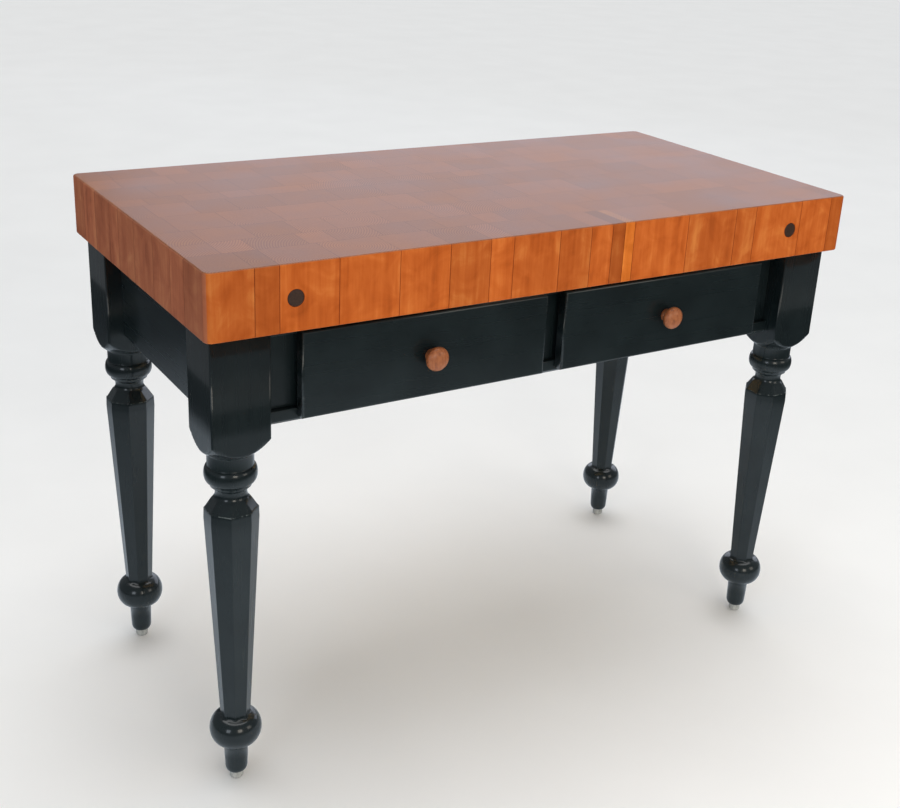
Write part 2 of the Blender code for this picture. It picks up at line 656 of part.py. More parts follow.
def add_drawer(side, sign):
    """Everything that slides rides on one empty, which stands on the drawer's line of travel."""
    slide = bpy.data.objects.new(f"drawer_{side}_slide", None)
    slide.location = (sign * KNOB_X, FRONT_FACE_Y, KNOB_Z)
    bpy.context.scene.collection.objects.link(slide)
    inner, outer = OPENING_IN + BOX_CLEARANCE, OPENING_OUT - BOX_CLEARANCE
    groove = (PANEL_BOTTOM - GAP, PANEL_TOP + GAP)

    def piece(part, mesh, finish_name, cutters=(), smooth=False, location=(0.0, 0.0, 0.0)):
        name = f"drawer_{side}_{part}"
        add(name, solid(name, mesh, finish_name, cutters, smooth), location, slide=slide)

    edges = sorted((sign * FRONT_REVEAL, sign * (OPENING_OUT + FRONT_LAP)))
    front = box_shape((edges[0], FRONT_FACE_Y, FRONT_BOTTOM), (edges[1], FRONT_BACK_Y, FRONT_TOP))
    round_edges(front, lambda a, b: max(a.y, b.y) < FRONT_FACE_Y + GAP, FRONT_ROUND, 2)
    groove_floors = (inner + BOX_THICKNESS - GROOVE_DEPTH, outer - BOX_THICKNESS + GROOVE_DEPTH)
    panel = sorted(sign * floor for floor in groove_floors)
    groove_low = (panel[0], FRONT_BACK_Y - GROOVE_DEPTH, groove[0])
    groove_high = (panel[1], FRONT_BACK_Y + GROOVE_DEPTH, groove[1])
    screw_hole = KNOB_SCREW_RADIUS + HOLE_CLEARANCE
    through = along_axis((sign * KNOB_X, FRONT_BACK_Y + FRONT_THICKNESS, KNOB_Z), (0, -1, 0))
    cutters = [
        box_shape(groove_low, groove_high),
        turned_shape([(0.0, screw_hole), (3 * FRONT_THICKNESS, screw_hole)], HOLE_SIDES, through),
    ]
    piece("front", front, "black_paint", cutters)

    for part, outside, inwards in (("inner", inner, 1), ("outer", outer, -1)):
        inside = outside + inwards * BOX_THICKNESS
        floor = inside - inwards * GROOVE_DEPTH
        outline = [
            (outside, BOX_BOTTOM),
            (outside, BOX_TOP),
            (inside, BOX_TOP),
            (inside, groove[1]),
            (floor, groove[1]),
            (floor, groove[0]),
            (inside, groove[0]),
            (inside, BOX_BOTTOM),
        ]
        board = prism_shape([(sign * x, z) for x, z in outline], BOX_START_Y, BOX_END_Y, 1)
        piece(f"side_{part}", board, "bare_poplar")

    across = sorted((sign * (inner + BOX_THICKNESS + GAP), sign * (outer - BOX_THICKNESS - GAP)))
    low = (across[0], BOX_END_Y - BOX_THICKNESS, PANEL_TOP + GAP)
    piece("back", box_shape(low, (across[1], BOX_END_Y, BOX_TOP)), "bare_poplar")
    low = (panel[0] + GAP, FRONT_BACK_Y - GROOVE_DEPTH + GAP, PANEL_BOTTOM)
    piece("bottom", box_shape(low, (panel[1] - GAP, BOX_END_Y, PANEL_TOP)), "birch_plywood")

    forward = along_axis((0, 0, 0), (0, -1, 0))
    knob = turned_shape(knob_profile(), KNOB_SIDES, forward)
    depth = KNOB_SCREW_DEPTH + GAP
    hole = turned_shape([(-depth, screw_hole), (depth, screw_hole)], HOLE_SIDES, forward)
    knob_place = (sign * KNOB_X, FRONT_FACE_Y - GAP, KNOB_Z)
    piece("knob", knob, "cherry_knob", [hole], True, knob_place)
    length = FRONT_THICKNESS + 2 * GAP + KNOB_SCREW_DEPTH
    profile = [
        (-KNOB_SCREW_HEAD_THICKNESS, KNOB_SCREW_HEAD_RADIUS),
        (0.0, KNOB_SCREW_HEAD_RADIUS),
        (0.0, KNOB_SCREW_RADIUS),
        (length, KNOB_SCREW_RADIUS),
    ]
    screw = turned_shape(profile, SCREW_SIDES, forward)
    screw_place = (sign * KNOB_X, FRONT_BACK_Y + GAP, KNOB_Z)
    piece("knob_screw", screw, "zinc_steel", (), True, screw_place)

    stop_low = (sign * KNOB_X - STOP_WIDTH / 2, -APRON_BACK_Y + GAP, BOX_TOP - STOP_CATCH)
    stop_high = (sign * KNOB_X + STOP_WIDTH / 2, -APRON_BACK_Y + GAP + STOP_LENGTH, BASE_TOP)
    stop = box_shape(stop_low, stop_high)
    add(f"drawer_stop_{side}", solid(f"drawer_stop_{side}", stop, "bare_poplar"))


def knob_profile():
    """A mushroom knob: a flared foot, a waist, and an elliptical cap."""
    cap_half = (KNOB_LENGTH - KNOB_WAIST) / 2
    cap_centre = KNOB_LENGTH - cap_half
    profile = [(0.0, KNOB_BASE_RADIUS), (KNOB_WAIST / 2, KNOB_STEM_RADIUS), (KNOB_WAIST, KNOB_STEM_RADIUS)]
    for step in range(1, KNOB_CAP_STEPS):
        angle = math.pi * (step / KNOB_CAP_STEPS - 0.5)
        radius = max(KNOB_RADIUS * math.cos(angle), KNOB_STEM_RADIUS if angle < 0 else 0.0)
        profile.append((cap_centre + cap_half * math.sin(angle), radius))
    profile.append((KNOB_LENGTH, KNOB_RADIUS / 5))
    return profile


clear_scene()
add_slab()
add_tie_bolts()
add_legs()
add_aprons()
add_front_frame()
add_corners()
add_runners()
add_drawer("left", -1)
add_drawer("right", 1)
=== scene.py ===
# %% [markdown]
# # A butcher block table
#
# This lesson dresses a kitchen work table: a thick slab of end-grain cherry on a painted base with turned
# legs and two drawers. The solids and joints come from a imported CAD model, so each piece made here has its
# place already. We only give it finer shapes and real finishes.

# %% Load the frame
import json
import math
import random

import bmesh
import bpy
from mathutils import Matrix, Vector


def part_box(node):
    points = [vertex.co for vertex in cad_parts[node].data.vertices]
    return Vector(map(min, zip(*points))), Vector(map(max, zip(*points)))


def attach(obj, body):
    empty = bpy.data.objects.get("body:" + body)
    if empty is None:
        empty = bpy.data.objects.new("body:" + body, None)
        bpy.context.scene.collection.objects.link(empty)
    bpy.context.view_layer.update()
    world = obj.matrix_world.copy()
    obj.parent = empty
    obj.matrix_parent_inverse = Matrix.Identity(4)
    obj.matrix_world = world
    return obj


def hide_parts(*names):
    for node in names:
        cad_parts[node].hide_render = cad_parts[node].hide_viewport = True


MM = 0.001
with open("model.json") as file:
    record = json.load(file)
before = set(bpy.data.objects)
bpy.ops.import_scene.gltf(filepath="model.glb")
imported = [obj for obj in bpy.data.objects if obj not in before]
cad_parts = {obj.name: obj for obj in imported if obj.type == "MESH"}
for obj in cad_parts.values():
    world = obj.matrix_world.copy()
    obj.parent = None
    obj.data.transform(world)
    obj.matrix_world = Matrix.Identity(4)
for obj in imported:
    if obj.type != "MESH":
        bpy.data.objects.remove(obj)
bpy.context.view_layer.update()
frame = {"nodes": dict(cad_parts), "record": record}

# %% [markdown]
# ## Helpers for materials
#
# Colours are written the way paint makers and web pages write them, as sRGB hex values. Cycles works in
# linear light, so one function turns hex into linear numbers. Another adds a shader node with its settings
# and links, which keeps each material short enough to read as a recipe. A texture's Scale counts features in
# a metre, so it is worked out from the size of one feature in millimetres.

# %% Colour and node helpers
# A Mix node holds sockets for every type of data, so the ones in use are picked by number.
FACTOR = 0
VALUE_A = 2
VALUE_B = 3
COLOUR_A = 6
COLOUR_B = 7
MIXED = 2


def linear(hex_colour):
    """An sRGB hex colour as linear red, green, blue and alpha."""
    channels = [int(hex_colour[i : i + 2], 16) / 255 for i in (1, 3, 5)]
    return (*[c / 12.92 if c <= 0.04045 else ((c + 0.055) / 1.055) ** 2.4 for c in channels], 1.0)


def pattern_scale(feature_mm):
    """The Scale of a texture whose features are this many millimetres wide."""
    return 1.0 / (feature_mm * MM)


def set_stops(elements, stops):
    """Gives a colour ramp its (position, hex colour) stops."""
    while len(elements) < len(stops):
        elements.new(1.0)
    for element, (position, colour) in zip(elements, stops):
        element.position = position
        element.color = linear(colour)


def link(tree, target, links):
    """Links each of these sockets to a node's first output, or to a (node, output)."""
    for key, source in links.items():
        output = source[0].outputs[source[1]] if isinstance(source, tuple) else source.outputs[0]
        tree.links.new(output, target.inputs[key])


def node(tree, kind, settings=None, links=None):
    """Adds a shader node. A setting is a property, a socket's value or a colour ramp's stops."""
    made = tree.nodes.new(kind)
    for key, value in (settings or {}).items():
        if key == "stops":
            set_stops(made.color_ramp.elements, value)
        elif isinstance(key, str) and hasattr(made, key):
            setattr(made, key, value)
        else:
            made.inputs[key].default_value = value
    link(tree, made, links or {})
    return made


def new_finish(name, **values):
    """A material with a Principled shader, whose sockets are set from values with _ for a space."""
    material = bpy.data.materials.new(name)
    material.use_nodes = True
    shader = material.node_tree.nodes["Principled BSDF"]
    for key, value in values.items():
        shader.inputs[key.replace("_", " ")].default_value = value
    return material, material.node_tree, shader


print("helpers ready")

# %% [markdown]
# ## Cherry blocks: the long grain
#
# The top is American cherry, glued up from blocks that stand on end and then sanded and oiled. A block's side
# shows straight grain that runs up and down: streaks a few millimetres wide and a hand long, with broader
# bands behind them. Oil soaks in unevenly and leaves soft patches a few centimetres across. One noise texture
# for each of the three, mixed and put through a ramp of warm oranges, gives the eye that layered depth.

# %% Long grain
LENGTHEN = (1.0, 1.0, 0.06)  # squeezing the pattern's Z draws it out along the block


def long_grain(tree, own):
    """The colour of a block's sides, and the streaks for their relief."""
    drawn_out = node(tree, "ShaderNodeMapping", {"Scale": LENGTHEN}, {"Vector": own})
    streaks = node(
        tree,
        "ShaderNodeTexNoise",
        {"Scale": pattern_scale(6.667), "Detail": 6.0, "Roughness": 0.62},
        {"Vector": drawn_out},
    )
    bands = node(
        tree,
        "ShaderNodeTexNoise",
        {"Scale": pattern_scale(35.71), "Detail": 3.0, "Distortion": 0.4},
        {"Vector": drawn_out},
    )
    patches = node(
        tree,
        "ShaderNodeTexNoise",
        {"Scale": pattern_scale(45.45), "Detail": 4.0, "Distortion": 1.2},
        {"Vector": own},
    )
    grain = node(
        tree,
        "ShaderNodeMix",
        {"data_type": "FLOAT", FACTOR: 0.62},
        {VALUE_A: (streaks, "Fac"), VALUE_B: (bands, "Fac")},
    )
    soaked = node(
        tree,
        "ShaderNodeMix",
        {"data_type": "FLOAT", FACTOR: 0.35},
        {VALUE_A: grain, VALUE_B: (patches, "Fac")},
    )
    stops = [(0.34, "#92420F"), (0.45, "#AE5319"), (0.54, "#BB5F23"), (0.66, "#CE7A38")]
    colour = node(tree, "ShaderNodeValToRGB", {"stops": stops}, {"Fac": soaked})
    return colour, streaks


print("streaks are about", round(6.667 / LENGTHEN[2]), "mm long")

# %% [markdown]
# ## Cherry blocks: the end grain
#
# From above a block shows growth rings round a pith that usually lies outside it, broken up by rays and
# pores. A ring-shaped wave texture with some distortion draws the rings, fine noise the pores, and a slow
# noise over the whole top the places where it has been handled and oiled more. Real rings are 1 to 3 mm
# apart. They are drawn 4 mm apart so that they show.

# %% End grain
RING_SPACING = 4.0 * MM
WAVE_LENGTH = 0.314  # length of one wave of Blender's Wave texture at scale 1


def end_grain(tree, own, clouds):
    """The colour of a block's end, and the pores for its relief."""
    rings = node(
        tree,
        "ShaderNodeTexWave",
        {
            "wave_type": "RINGS",
            "rings_direction": "Z",
            "Scale": WAVE_LENGTH / RING_SPACING,
            "Distortion": 1.6,
            "Detail": 3.0,
            "Detail Scale": 0.6,
        },
        {"Vector": own},
    )
    pores = node(
        tree,
        "ShaderNodeTexNoise",
        {"Scale": pattern_scale(2.381), "Detail": 4.0, "Roughness": 0.7},
        {"Vector": own},
    )
    ringed = node(
        tree,
        "ShaderNodeMix",
        {"data_type": "FLOAT", FACTOR: 0.62},
        {VALUE_A: (rings, "Fac"), VALUE_B: (pores, "Fac")},
    )
    clouded = node(
        tree,
        "ShaderNodeMix",
        {"data_type": "FLOAT", FACTOR: 0.45},
        {VALUE_A: ringed, VALUE_B: (clouds, "Fac")},
    )
    stops = [(0.28, "#784223"), (0.45, "#8F542F"), (0.58, "#9D613A"), (0.75, "#B07345")]
    colour = node(tree, "ShaderNodeValToRGB", {"stops": stops}, {"Fac": clouded})
    return colour, pores


print("wave scale for the rings:", WAVE_LENGTH / RING_SPACING)

# %% [markdown]
# ## Cherry blocks: one finish
#
# Wood darkens unevenly, so each block has its own tone, and a strip with sapwood in it is paler and yellower.
# Those tones, a place for the pith, the end grain and the glue lines are stored on the mesh, block by block,
# because no texture knows where one block ends and the next begins. The short sides of the top are marked
# too, and get a painted shade: their colour is made a little darker and greyer than the long ones'.
#
# Oiled cherry has an index of refraction of about 1.5. The top is rubbed by use and shows a pale sheen where
# the eye looks along it. The sides get only a thin coat and stay nearly matt. So the same recipe is made
# twice, with two levels of gloss.

# %% Slab finish
def oiled_cherry_blocks(name, gloss):
    material, tree, shader = new_finish(name, IOR=1.5, Specular_IOR_Level=gloss)
    place = node(tree, "ShaderNodeTexCoord")
    tone = node(tree, "ShaderNodeAttribute", {"attribute_name": "block_tone"})
    shift = node(tree, "ShaderNodeAttribute", {"attribute_name": "block_shift"})
    joint = node(tree, "ShaderNodeAttribute", {"attribute_name": "glue_line"})
    end = node(tree, "ShaderNodeAttribute", {"attribute_name": "end_grain"})
    outer = node(tree, "ShaderNodeAttribute", {"attribute_name": "short_side"})
    own = node(
        tree, "ShaderNodeVectorMath", {"operation": "ADD"}, {0: (place, "Object"), 1: (shift, "Vector")}
    )
    clouds = node(
        tree,
        "ShaderNodeTexNoise",
        {"Scale": pattern_scale(111.1), "Detail": 3.0},
        {"Vector": (place, "Object")},
    )
    side, streaks = long_grain(tree, own)
    top, pores = end_grain(tree, own, clouds)

    wood = node(
        tree,
        "ShaderNodeMix",
        {"data_type": "RGBA"},
        {FACTOR: (end, "Fac"), COLOUR_A: side, COLOUR_B: top},
    )
    # Painted shade: the short sides are made darker and greyer.
    painted_shade_on_short_sides = node(
        tree, "ShaderNodeHueSaturation", {"Saturation": 0.88, "Value": 0.80}, {"Color": (wood, MIXED)}
    )
    short_sides_shaded = node(
        tree,
        "ShaderNodeMix",
        {"data_type": "RGBA"},
        {FACTOR: (outer, "Fac"), COLOUR_A: (wood, MIXED), COLOUR_B: painted_shade_on_short_sides},
    )
    hue = node(
        tree,
        "ShaderNodeMapRange",
        {"From Min": 1.1, "From Max": 1.3, "To Min": 0.5, "To Max": 0.507},
        {"Value": (tone, "Fac")},
    )
    toned = node(
        tree,
        "ShaderNodeHueSaturation",
        {},
        {"Color": (short_sides_shaded, MIXED), "Value": (tone, "Fac"), "Hue": hue},
    )
    glued = node(
        tree,
        "ShaderNodeMix",
        {"data_type": "RGBA", "blend_type": "MULTIPLY", COLOUR_B: linear("#8A5838")},
        {FACTOR: (joint, "Fac"), COLOUR_A: toned},
    )
    sheen = node(
        tree, "ShaderNodeMapRange", {"To Min": 0.30, "To Max": 0.46}, {"Value": (clouds, "Fac")}
    )
    relief = node(
        tree,
        "ShaderNodeMix",
        {"data_type": "FLOAT"},
        {FACTOR: (end, "Fac"), VALUE_A: (streaks, "Fac"), VALUE_B: (pores, "Fac")},
    )
    bump = node(tree, "ShaderNodeBump", {"Strength": 0.5, "Distance": 0.12 * MM}, {"Height": relief})
    link(tree, shader, {"Base Color": (glued, MIXED), "Roughness": sheen, "Normal": bump})
    return material


cherry_top = oiled_cherry_blocks("oiled_cherry_end_grain_rubbed", 0.38)
cherry_sides = oiled_cherry_blocks("oiled_cherry_long_grain", 0.12)
print("made", cherry_top.name, "and", cherry_sides.name)

# %% [markdown]
# ## Satin black paint
#
# The base is hardwood under brushed-on enamel, a black with a little green and blue in it. Satin paint is not
# flat: the brush leaves fine ridges along each board, the wood's grain telegraphs through, and handling rubs
# the arrises paler. The line round each leg's collar gets the same paler colour as a painted highlight.
# Enamel has an index of refraction of about 1.5. A soft base layer with a thin, smoother coat over it gives
# the eye both a broad sheen and small crisp marks of the windows on the turned parts.
#
# The ridges run along a board, so there is one paint for each direction a board can run. Real ridges are
# 0.3 mm apart, and are drawn 1 mm apart so that they show.

# %% Paint finish
def satin_enamel(name, drawn_out):
    material, tree, shader = new_finish(
        name, IOR=1.5, Specular_IOR_Level=0.22, Coat_Weight=0.65, Coat_Roughness=0.1, Coat_IOR=1.5
    )
    place = node(tree, "ShaderNodeTexCoord")
    edge = node(tree, "ShaderNodeAttribute", {"attribute_name": "arris"})
    along = node(tree, "ShaderNodeMapping", {"Scale": drawn_out}, {"Vector": (place, "Object")})
    ridges = node(
        tree,
        "ShaderNodeTexNoise",
        {"Scale": pattern_scale(1.111), "Detail": 3.0, "Roughness": 0.6},
        {"Vector": along},
    )
    grain = node(
        tree,
        "ShaderNodeTexNoise",
        {"Scale": pattern_scale(6.25), "Detail": 5.0, "Distortion": 0.6},
        {"Vector": along},
    )
    clouds = node(
        tree,
        "ShaderNodeTexNoise",
        {"Scale": pattern_scale(71.43), "Detail": 3.0},
        {"Vector": (place, "Object")},
    )
    stops = [(0.3, "#10181A"), (0.7, "#182123")]
    black = node(tree, "ShaderNodeValToRGB", {"stops": stops}, {"Fac": (clouds, "Fac")})
    wear_and_highlight_patches = node(
        tree,
        "ShaderNodeMapRange",
        {"From Min": 0.50, "From Max": 0.72, "To Min": 0.0, "To Max": 0.55},
        {"Value": (grain, "Fac")},
    )
    # Rubbed arrises of the boards, and the painted highlight on each leg's collar line, take the paler
    # colour.
    worn_and_highlit = node(tree, "ShaderNodeMath", {"operation": "MULTIPLY"}, {0: wear_and_highlight_patches, 1: (edge, "Fac")})
    colour = node(
        tree,
        "ShaderNodeMix",
        {"data_type": "RGBA", COLOUR_B: linear("#59605F")},
        {FACTOR: worn_and_highlit, COLOUR_A: black},
    )
    gloss = node(tree, "ShaderNodeMapRange", {"To Min": 0.22, "To Max": 0.36}, {"Value": (grain, "Fac")})
    relief = node(
        tree,
        "ShaderNodeMix",
        {"data_type": "FLOAT", FACTOR: 0.6},
        {VALUE_A: (ridges, "Fac"), VALUE_B: (grain, "Fac")},
    )
    bump = node(tree, "ShaderNodeBump", {"Strength": 0.12, "Distance": 0.10 * MM}, {"Height": relief})
    link(tree, shader, {"Base Color": (colour, MIXED), "Roughness": gloss, "Normal": bump})
    return material


paint_along = {
    "x": satin_enamel("satin_black_enamel_along_x", (0.03, 1.0, 1.0)),
    "y": satin_enamel("satin_black_enamel_along_y", (1.0, 0.03, 1.0)),
    "z": satin_enamel("satin_black_enamel_along_z", (1.0, 1.0, 0.03)),
}
print("made", len(paint_along), "paints")

# %% [markdown]
# ## Plainer woods
#
# What a hand meets only when a drawer is open is planed and left bare: poplar for the boards, with its cream
# and faint green streaks, and birch plywood for the bottoms. Bare wood scatters light widely, so it is rough
# and shows almost no gloss. One recipe serves both, stretched along the board. The knobs are cherry turned on
# a lathe and oiled, and the plugs a dark wood such as walnut, so they use it too with other colours.

# %% Plain wood finishes
PORES_IN_STREAK = 6
ROUGHNESS_SPREAD = 0.07


def straight_grain_wood(name, stops, drawn_out, streak_mm, roughness):
    material, tree, shader = new_finish(name, IOR=1.5, Specular_IOR_Level=0.5)
    place = node(tree, "ShaderNodeTexCoord")
    along = node(tree, "ShaderNodeMapping", {"Scale": drawn_out}, {"Vector": (place, "Object")})
    figure = node(
        tree,
        "ShaderNodeTexNoise",
        {"Scale": pattern_scale(streak_mm), "Detail": 5.0, "Distortion": 0.8},
        {"Vector": along},
    )
    pores = node(
        tree,
        "ShaderNodeTexNoise",
        {"Scale": pattern_scale(streak_mm) * PORES_IN_STREAK, "Detail": 3.0, "Roughness": 0.7},
        {"Vector": along},
    )
    mixed = node(
        tree,
        "ShaderNodeMix",
        {"data_type": "FLOAT", FACTOR: 0.3},
        {VALUE_A: (figure, "Fac"), VALUE_B: (pores, "Fac")},
    )
    colour = node(tree, "ShaderNodeValToRGB", {"stops": stops}, {"Fac": mixed})
    rough = node(
        tree,
        "ShaderNodeMapRange",
        {"To Min": roughness - ROUGHNESS_SPREAD, "To Max": roughness + ROUGHNESS_SPREAD},
        {"Value": (pores, "Fac")},
    )
    bump = node(tree, "ShaderNodeBump", {"Strength": 0.4, "Distance": 0.15 * MM}, {"Height": (pores, "Fac")})
    link(tree, shader, {"Base Color": colour, "Roughness": rough, "Normal": bump})
    return material


POPLAR = [(0.30, "#B39A72"), (0.48, "#CDB68C"), (0.60, "#D8C49C"), (0.75, "#C3BC90")]
BIRCH = [(0.30, "#C39A66"), (0.50, "#D9B682"), (0.72, "#E4C797")]
CHERRY = [(0.30, "#6A3820"), (0.48, "#925430"), (0.62, "#A2623A"), (0.78, "#824A2A")]
WALNUT = [(0.30, "#21150C"), (0.50, "#362115"), (0.72, "#472D1D")]
poplar_along = {
    "x": straight_grain_wood("planed_poplar_along_x", POPLAR, (0.05, 1.0, 1.0), 9.0, 0.62),
    "y": straight_grain_wood("planed_poplar_along_y", POPLAR, (1.0, 0.05, 1.0), 9.0, 0.62),
}
birch_plywood = straight_grain_wood("sanded_birch_plywood", BIRCH, (0.06, 1.0, 1.0), 14.0, 0.55)
turned_cherry = straight_grain_wood("turned_oiled_cherry", CHERRY, (1.0, 1.0, 0.35), 5.0, 0.36)
walnut_plug = straight_grain_wood("dark_walnut_end_grain", WALNUT, (1.0, 1.0, 1.0), 2.5, 0.48)
print("made the bare and oiled woods")

# %% [markdown]
# ## Steel and nylon
#
# The bolts, nuts and screws are mild steel with a bright zinc plating. Plating is a thin metal skin, so the
# shader is fully metallic, and the roughness varies in soft crystal-like patches that the eye reads as a
# dull sparkle. The glides under the legs are moulded nylon: a pale grey plastic with an index of refraction
# of 1.53, slightly rough, scuffed by the floor.

# %% Hardware finishes
def bright_zinc():
    material, tree, shader = new_finish("bright_zinc_plated_steel", Metallic=1.0)
    place = node(tree, "ShaderNodeTexCoord")
    crystals = node(
        tree, "ShaderNodeTexVoronoi", {"Scale": pattern_scale(3.846)}, {"Vector": (place, "Object")}
    )
    dulling = node(
        tree,
        "ShaderNodeTexNoise",
        {"Scale": pattern_scale(11.11), "Detail": 4.0},
        {"Vector": (place, "Object")},
    )
    stops = [(0.3, "#A9AAA6"), (0.7, "#C6C8C9")]
    colour = node(tree, "ShaderNodeValToRGB", {"stops": stops}, {"Fac": (dulling, "Fac")})
    rough = node(
        tree, "ShaderNodeMapRange", {"To Min": 0.26, "To Max": 0.48}, {"Value": (crystals, "Distance")}
    )
    bump = node(
        tree, "ShaderNodeBump", {"Strength": 0.3, "Distance": 0.05 * MM}, {"Height": (dulling, "Fac")}
    )
    link(tree, shader, {"Base Color": colour, "Roughness": rough, "Normal": bump})
    return material


def moulded_nylon():
    material, tree, shader = new_finish("moulded_grey_nylon", IOR=1.53)
    place = node(tree, "ShaderNodeTexCoord")
    scuffs = node(
        tree,
        "ShaderNodeTexNoise",
        {"Scale": pattern_scale(4.545), "Detail": 6.0, "Roughness": 0.7},
        {"Vector": (place, "Object")},
    )
    stops = [(0.35, "#8F908D"), (0.6, "#B7B8B4")]
    colour = node(tree, "ShaderNodeValToRGB", {"stops": stops}, {"Fac": (scuffs, "Fac")})
    rough = node(tree, "ShaderNodeMapRange", {"To Min": 0.38, "To Max": 0.6}, {"Value": (scuffs, "Fac")})
    bump = node(
        tree, "ShaderNodeBump", {"Strength": 0.3, "Distance": 0.08 * MM}, {"Height": (scuffs, "Fac")}
    )
    link(tree, shader, {"Base Color": colour, "Roughness": rough, "Normal": bump})
    return material


zinc_steel = bright_zinc()
grey_nylon = moulded_nylon()
print("made", zinc_steel.name, "and", grey_nylon.name)

# %% [markdown]
# ## Helpers for pieces
#
# A finer piece takes the place of its CAD node, which stays in the physics model. Each one rides on the same
# body as the node it stands for.

# %% Piece helpers
body_of = {name: body for body, names in frame["record"]["behaviour"]["bodies"].items() for name in names}
slot_of = {part["node"]: part["material_slot"] for part in frame["record"]["subparts"]}


def piece(name, node_name, data, finish, place=None):
    """An object that stands for one CAD node and rides on that node's body."""
    data.materials.clear()
    data.materials.append(finish)
    obj = bpy.data.objects.new(name, data)
    if place is not None:
        obj.matrix_world = place
    bpy.context.scene.collection.objects.link(obj)
    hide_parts(node_name)
    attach(obj, body_of[node_name])
    return obj


def even_normals(obj):
    """Shades bevels as round while the broad faces between them stay flat."""
    modifier = obj.modifiers.new("even_normals", "WEIGHTED_NORMAL")
    modifier.keep_sharp = True


def to_mesh(shape, name):
    """A shape's mesh, with smooth faces."""
    bmesh.ops.recalc_face_normals(shape, faces=shape.faces)
    for face in shape.faces:
        face.smooth = True
    data = bpy.data.meshes.new(name)
    shape.to_mesh(data)
    shape.free()
    return data


def loft(rings, name):
    """A closed solid through rings of points, capped at both ends."""
    shape = bmesh.new()
    made = [[shape.verts.new(point) for point in ring] for ring in rings]
    for lower, upper in zip(made, made[1:]):
        for i in range(len(lower)):
            j = (i + 1) % len(lower)
            shape.faces.new((lower[i], lower[j], upper[j], upper[i]))
    shape.faces.new(made[0])
    shape.faces.new(made[-1])
    return to_mesh(shape, name)


def lathe(profile, sides, name):
    """A turned solid from (height, radius) pairs in mm."""
    rings = []
    for height, radius in profile:
        angles = [2 * math.pi * i / sides for i in range(sides)]
        rings.append([Vector((radius * math.cos(a), radius * math.sin(a), height)) * MM for a in angles])
    return loft(rings, name)


def cut(blank, cutters):
    """The mesh of a blank with each cutter's shape taken out of it."""
    held = bpy.data.objects.new("blank", blank)
    tools = [bpy.data.objects.new("cutter", cutter) for cutter in cutters]
    for helper in [held] + tools:
        bpy.context.scene.collection.objects.link(helper)
    for tool in tools:
        modifier = held.modifiers.new("cut", "BOOLEAN")
        modifier.operation = "DIFFERENCE"
        modifier.solver = "EXACT"
        modifier.object = tool
    graph = bpy.context.evaluated_depsgraph_get()
    data = bpy.data.meshes.new_from_object(held.evaluated_get(graph))
    for helper in [held] + tools:
        bpy.data.objects.remove(helper, do_unlink=True)
    return data


def box_shape(low, high):
    low = Vector(low)
    high = Vector(high)
    shape = bmesh.new()
    bmesh.ops.create_cube(shape, size=1.0)
    bmesh.ops.scale(shape, vec=high - low, verts=shape.verts)
    bmesh.ops.translate(shape, vec=(low + high) / 2, verts=shape.verts)
    return shape


def round_edges(shape, wanted, width, segments):
    """Rounds the edges whose two ends the function wanted picks."""
    edges = [edge for edge in shape.edges if wanted(edge.verts[0].co, edge.verts[1].co)]
    return bmesh.ops.bevel(shape, geom=edges, offset=width, segments=segments, profile=0.5, affect="EDGES")


print("piece helpers ready")

# %% [markdown]
# ## The slab
#
# A maker glues sawn strips into panels, crosscuts them and stands the pieces on end in rows, so the rows run
# the length of the table and the joints in one row miss those in the next. We do the same in mesh code. First
# comes the blank, rounded at its corners and edges and bored for the tie bolts. The bores are wide at both
# ends for the head, the nut and the plug.

# %% Blank of the slab
slab_low, slab_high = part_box("butcher_block_top")
CORNER_ROUND = 12.0 * MM
EDGE_ROUND = 3.0 * MM
BORE_DEPTH = 38.0
BORE_WIDE = 12.7
BORE_NARROW = 7.05


def rounded_slab():
    shape = box_shape(slab_low, slab_high)
    half_thick = (slab_high[2] - slab_low[2]) / 2
    round_edges(shape, lambda a, b: abs(a.z - b.z) > half_thick, CORNER_ROUND, 10)
    round_edges(shape, lambda a, b: abs(a.z - b.z) < 0.1 * MM, EDGE_ROUND, 4)
    return to_mesh(shape, "slab_blank")


def slab_bores():
    half = (slab_high[1] - slab_low[1]) / 2 / MM
    profile = [
        (-half - BORE_DEPTH, BORE_WIDE),
        (BORE_DEPTH - half, BORE_WIDE),
        (BORE_DEPTH - half, BORE_NARROW),
        (half - BORE_DEPTH, BORE_NARROW),
        (half - BORE_DEPTH, BORE_WIDE),
        (half + BORE_DEPTH, BORE_WIDE),
    ]
    found = []
    for side in ("left", "right"):
        low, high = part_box(f"tie_bolt_{side}")
        bore = lathe(profile, 48, "bore")
        lay = Matrix.Translation(((low[0] + high[0]) / 2, 0.0, (low[2] + high[2]) / 2))
        bore.transform(lay @ Matrix.Rotation(-math.pi / 2, 4, "X"))
        found.append(bore)
    return found


slab_blank = cut(rounded_slab(), slab_bores())
print("blank with bores:", len(slab_blank.polygons), "faces")

# %% [markdown]
# Then the blank is sliced along the rows, and each row at its own joints. Slicing one mesh keeps the blocks
# on one closed surface, which a pile of separate boxes would not. The front row shows most, so its joints and
# tones are listed. The others fall where a maker's offcuts would put them, so they are drawn at random from a
# fixed seed. One narrow strip near the middle of the front holds sapwood and has the highest tone.

# %% Rows and joints
SEED = 7
FAR = 1000 * MM
ROW_EDGES = [-226, -170, -99, -14, 60, 103, 178, 240]
FRONT_JOINTS = [-538, -501, -409, -311, -226, -155, -113, -26, 35, 77, 102, 122, 237, 344, 390, 499, 572]
FRONT_TONES = [0.82, 0.80, 0.97, 1.00, 1.01, 0.88, 1.05, 0.95, 0.90, 1.04, 0.76]
FRONT_TONES += [1.28, 1.06, 0.92, 0.92, 1.01, 1.02, 0.86]
FIRST_BLOCK = (40, 90)
BLOCK_WIDTHS = (42, 105)
NARROWEST = 35
TONES = (0.90, 1.08)


